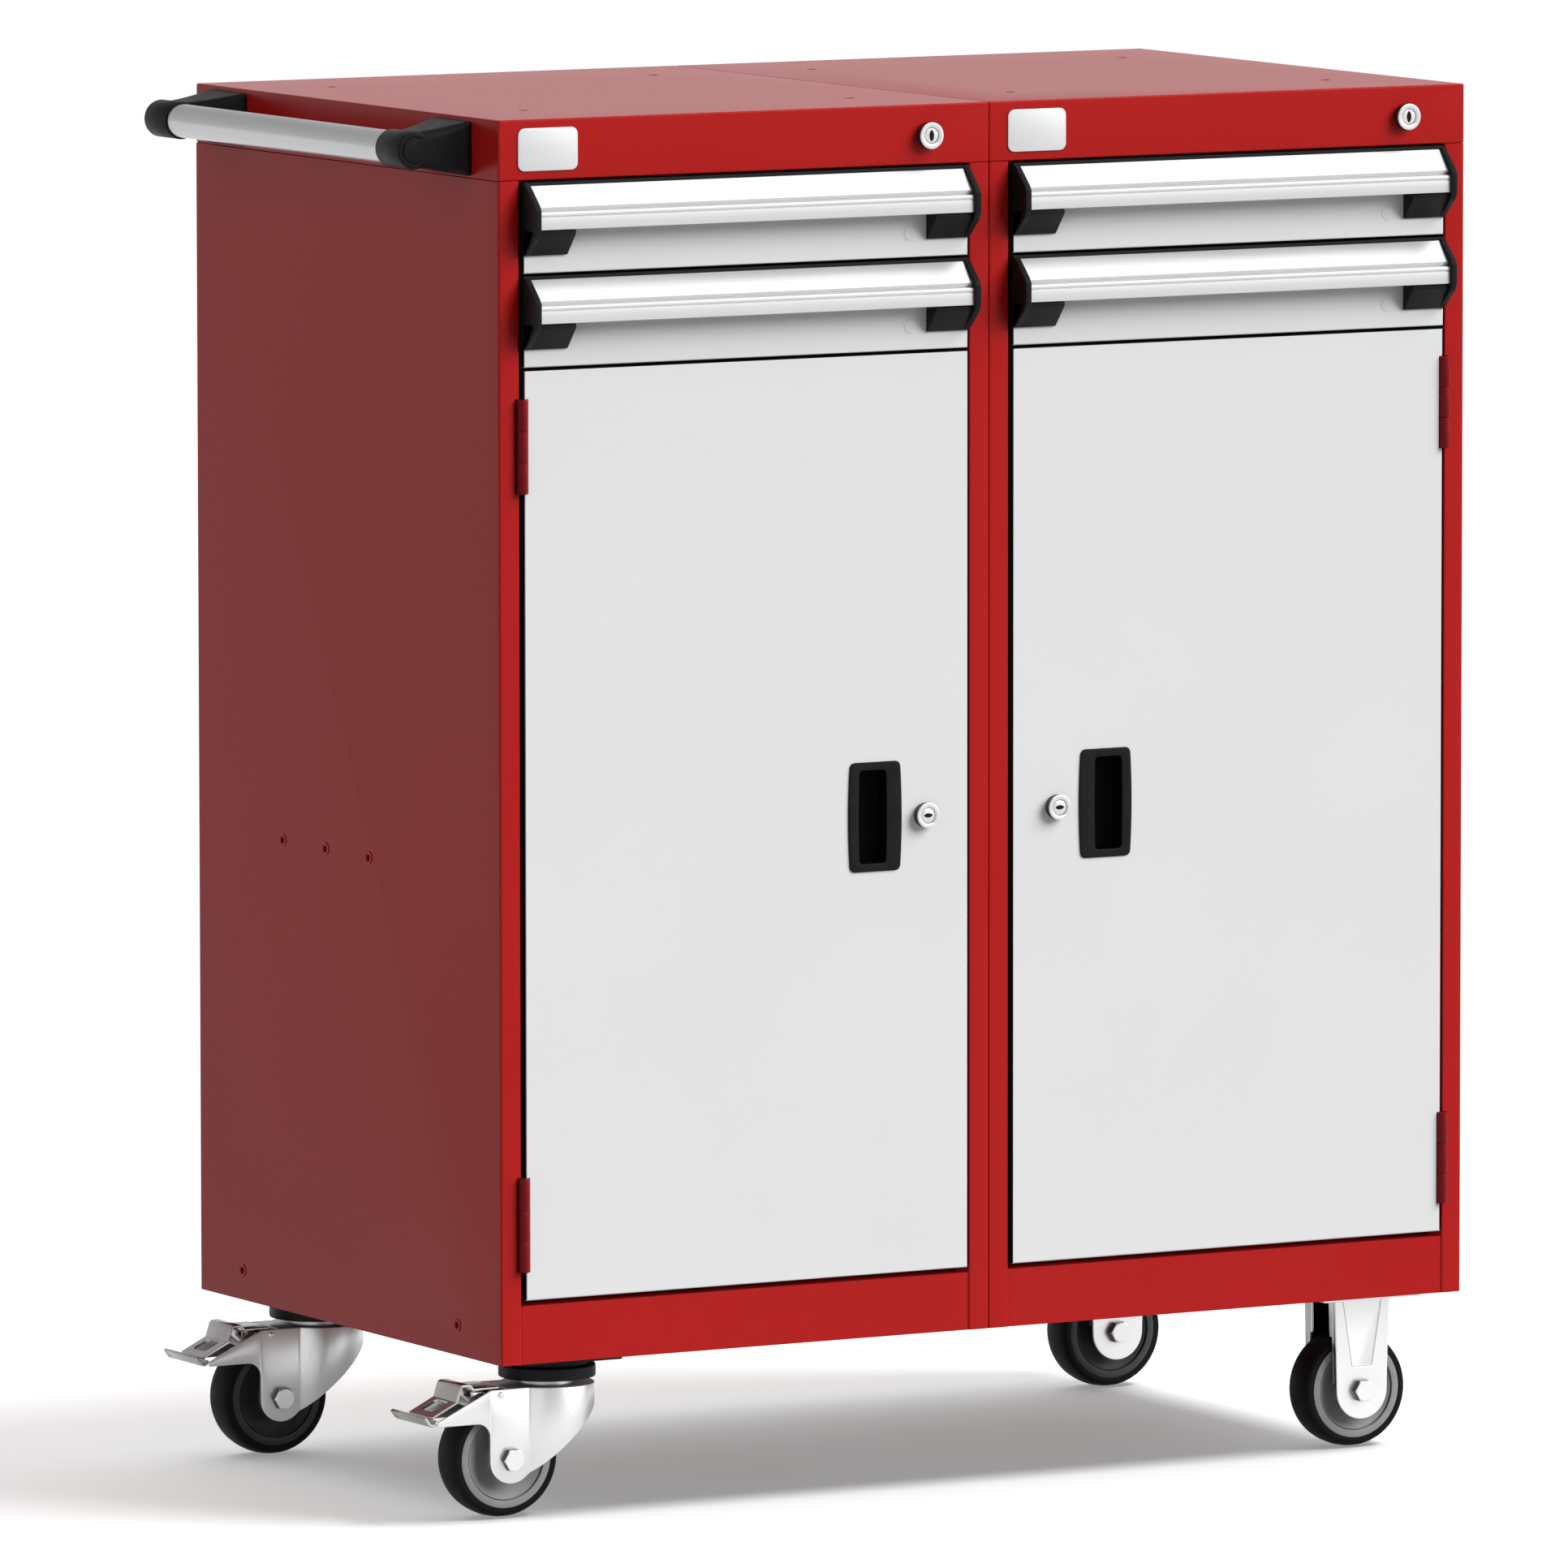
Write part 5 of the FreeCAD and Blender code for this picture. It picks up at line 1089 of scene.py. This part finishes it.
def makeInserts():
    # Turned rings on the left side: two low ones, and three above on one pitch.
    s = trimShape
    low, high = boxOf("rivet_nuts")
    centre, up = (low[1] + high[1]) / 2, s["insertRadius"] * mm
    spots = [(centre + sign * s["lowSpread"] * mm, low[2] + up) for sign in (-1, 1)]
    spots += [(centre + (s["highFirst"] + k * s["pitch"]) * mm, high[2] - up) for k in (-1, 0, 1)]
    rings = [turnedSurface("ring", s["insert"], (low[0] + s["insertWall"] * mm, y, z), -xAxis,
                           "redPaint", 32, True, 40) for y, z in spots]
    addPiece(joinPieces("threaded_inserts", rings), "cabinet", "zinc_steel", "rivet_nuts")


def makePlugs():
    # A round plug in each drawer front.
    s = trimShape
    for name in drawerNames:
        right = boxOf(name.split("_")[0] + "_top_cap")[1][0]
        place = (right - s["plugIn"] * mm, boxOf(name + "_pull")[1][1],
                 boxOf(name + "_body")[0][2] + s["plugUp"] * mm)
        addPiece(turnedSurface(name + "_hole_plug", s["plug"], place, -yAxis, "greyPaint", 40), name,
                 "grey_paint")


def makeTrim():
    # All the small trim.
    makeBadges()
    makeInserts()
    makePlugs()
    print("trim made")


def dressRest():
    # Every node that no finer piece stands for. The slide parts are bare steel, the pads over the
    # swivels black, the drawer bodies' side and top edges black as painted gap shade, and the red of
    # the base stays out of the floor's shade.
    for node in sorted(nodes):
        if node in replacedNodes:
            continue
        look = slotFinish[slotOf[node]]
        if node.endswith(("slotted_uprights", "cabinet_runners", "_carriages", "_lock_bar")):
            look = "slideSteel"
        if node == "swivel_caster_plates":
            look = "blackPlastic"
        piece = dressSheet(node, look)
        if node.endswith("_drawer_body"):
            paintGapShade(piece, node)
        piece.visible_diffuse = not node.endswith("_base_pan")
    print("sheet metal dressed")


makeDrawerPulls()
for side in sideNames:
    doorPull(side)
makeLocks()
makeHinges()
makeCasters()
makeHandle()
makeTrim()
dressRest()


# Floor, light and camera

stageLook = {
    "floorSize": 60.0, "floorGrey": 0.93, "floorGlow": 0.28, "fadeStart": 0.20, "fadeEnd": 1.30,
    "bounce": 0.35, "mirrored": 0.95, "worldFill": 0.08, "lowSky": 0.72, "highSky": 0.32,
    # Each lamp: azimuth to the right of the front, elevation, width, strength, and whether it is
    # for the floor alone or for all but the floor.
    "lamps": {"cabinetKey": (48, 33, 46, 4.25, False), "leftFill": (-80, 14, 90, 0.68, False),
              "cabinetGloss": (48, 36, 76, 1.9, False),
              "floorKey": (52, 60, 22, 2.15, True), "floorBack": (165, 60, 90, 1.85, True)},
}


def mathNode(tree, operation, *values):
    # Arithmetic on one or two values.
    return addNode(tree, "Math", dict(enumerate(values)), operation=operation)


def rayKind(tree, kind):
    # 1 for rays of a kind and 0 for others.
    return addNode(tree, "LightPath", {}, f"Is {kind} Ray")


def awayFromCabinet(tree):
    # Distance on the floor from the cabinet's footprint: |max(|p - middle| - half, 0)|, then faded
    # to 0 under the cabinet and 1 far from it.
    place = addNode(tree, "TexCoord", {}, "Object")
    squares = []
    for axis in (0, 1):
        low, high = cadBounds[0][axis], cadBounds[1][axis]
        coordinate = addNode(tree, "SeparateXYZ", {0: place}, axis)
        off = mathNode(tree, "ABSOLUTE", mathNode(tree, "SUBTRACT", coordinate, (low + high) / 2))
        past = mathNode(tree, "MAXIMUM", mathNode(tree, "SUBTRACT", off, (high - low) / 2), 0.0)
        squares.append(mathNode(tree, "MULTIPLY", past, past))
    distance = mathNode(tree, "SQRT", mathNode(tree, "ADD", *squares))
    return mapRange(tree, distance, 0.0, 1.0, stageLook["fadeStart"], stageLook["fadeEnd"],
                    interpolation_type="SMOOTHSTEP")


def makeFloor():
    # A pale floor that is lit near the cabinet and turns to plain white away from it. What it sends
    # on to the cabinet is less than what the camera sees.
    look, size = stageLook, stageLook["floorSize"]
    mesh = bpy.data.meshes.new("paleFloor")
    mesh.from_pydata([(-size, -size, 0), (size, -size, 0), (size, size, 0), (-size, size, 0)], [],
                     [(0, 1, 2, 3)])
    floor = addObject("paleFloor", mesh)
    material = bpy.data.materials.new("paleFloor")
    material.use_nodes = True
    material.cycles.emission_sampling = "NONE"
    tree = material.node_tree
    level = mathNode(tree, "MULTIPLY", mapRange(tree, rayKind(tree, "Diffuse"), 1.0, look["bounce"]),
                     mapRange(tree, rayKind(tree, "Glossy"), 1.0, look["mirrored"]))
    shader = tree.nodes["Principled BSDF"]
    tone = mathNode(tree, "MULTIPLY", level, look["floorGrey"])
    for socket, value in {"Base Color": tone, "Roughness": 1.0, "Specular IOR Level": 0.0}.items():
        setInput(tree, shader.inputs[socket], value)
    glow = mathNode(tree, "MULTIPLY", level, look["floorGlow"])
    lit = addNode(tree, "AddShader", {0: shader.outputs[0],
                                      1: addNode(tree, "Emission", {"Strength": glow})})
    mix = addNode(tree, "MixShader", {"Fac": awayFromCabinet(tree), 1: lit,
                                      2: addNode(tree, "Emission", {"Strength": level})})
    tree.links.new(mix, tree.nodes["Material Output"].inputs["Surface"])
    mesh.materials.append(material)
    return floor


def makeWorld():
    # White behind the cabinet, a low fill for the surfaces, and a studio that darkens upwards in
    # reflections: level = low + (high - low) z, z the height of the direction.
    world = bpy.data.worlds.new("paleStudio")
    bpy.context.scene.world = world
    world.use_nodes = True
    tree = world.node_tree
    tree.nodes.clear()
    direction = addNode(tree, "TexCoord", {}, "Generated")
    mirrored = mapRange(tree, addNode(tree, "SeparateXYZ", {0: direction}, 2), stageLook["lowSky"],
                        stageLook["highSky"])
    glossy = rayKind(tree, "Glossy")
    fill = mathNode(tree, "MULTIPLY", mathNode(tree, "SUBTRACT", 1.0, glossy),
                    stageLook["worldFill"])
    level = mathNode(tree, "ADD", fill, mathNode(tree, "MULTIPLY", mirrored, glossy))
    seen = mathNode(tree, "MAXIMUM", rayKind(tree, "Camera"), rayKind(tree, "Transmission"))
    strength = mathNode(tree, "MAXIMUM", level, seen)
    background = addNode(tree, "Background", {"Color": (1, 1, 1, 1), "Strength": strength})
    output = tree.nodes.new("ShaderNodeOutputWorld")
    tree.links.new(background, output.inputs["Surface"])


def makeLamp(name, floor, azimuth, elevation, width, strength, onFloor):
    # Broad, even light from one direction, turned so that its -Z runs along the light. Light linking
    # keeps it to the floor, or off it. The key's highlights come from a broader, softer lamp.
    azimuth, elevation = math.radians(azimuth), math.radians(elevation)
    data = bpy.data.lights.new(name, "SUN")
    data.angle = math.radians(width)
    data.energy = strength
    light = addObject(name, data)
    toward = Vector((-math.sin(azimuth) * math.cos(elevation),
                     math.cos(azimuth) * math.cos(elevation), -math.sin(elevation)))
    light.rotation_euler = toward.to_track_quat("-Z", "Y").to_euler()
    light.visible_glossy = name != "cabinetKey"
    light.visible_diffuse = name != "cabinetGloss"
    group = bpy.data.collections.new(name + "Floor")
    group.objects.link(floor)
    light.light_linking.receiver_collection = group
    if not onFloor:
        group.collection_objects[0].light_linking.link_state = "EXCLUDE"


cameraView = {"azimuth": -29.205, "elevation": 6.127, "roll": -0.048, "distance": 14.2246,
              "right": -0.03867, "up": -0.0795, "aim": (0.03275, 0.01225, 0.6414), "lens": 389.9}


def makeCamera():
    # Camera at aim + d back + r right + s up, back pointing from the aim to the camera.
    c = cameraView
    a, e = math.radians(c["azimuth"]), math.radians(c["elevation"])
    back = Vector((math.sin(a) * math.cos(e), -math.cos(a) * math.cos(e), math.sin(e)))
    right = Vector((math.cos(a), math.sin(a), 0))
    up = back.cross(right)
    place = Vector(c["aim"]) + back * c["distance"] + right * c["right"] + up * c["up"]
    data = bpy.data.cameras.new("photoView")
    data.lens = c["lens"]
    data.sensor_width = 36.0
    data.clip_end = 200.0
    camera = addObject("photoView", data)
    turn = Matrix((right, up, back)).transposed() @ Matrix.Rotation(math.radians(c["roll"]), 3, "Z")
    camera.matrix_world = Matrix.Translation(place) @ turn.to_4x4()
    bpy.context.scene.camera = camera


floor = makeFloor()
makeWorld()
for name, values in stageLook["lamps"].items():
    makeLamp(name, floor, *values)
makeCamera()
bpy.context.scene.view_settings.view_transform = "Standard"
print("stage made")
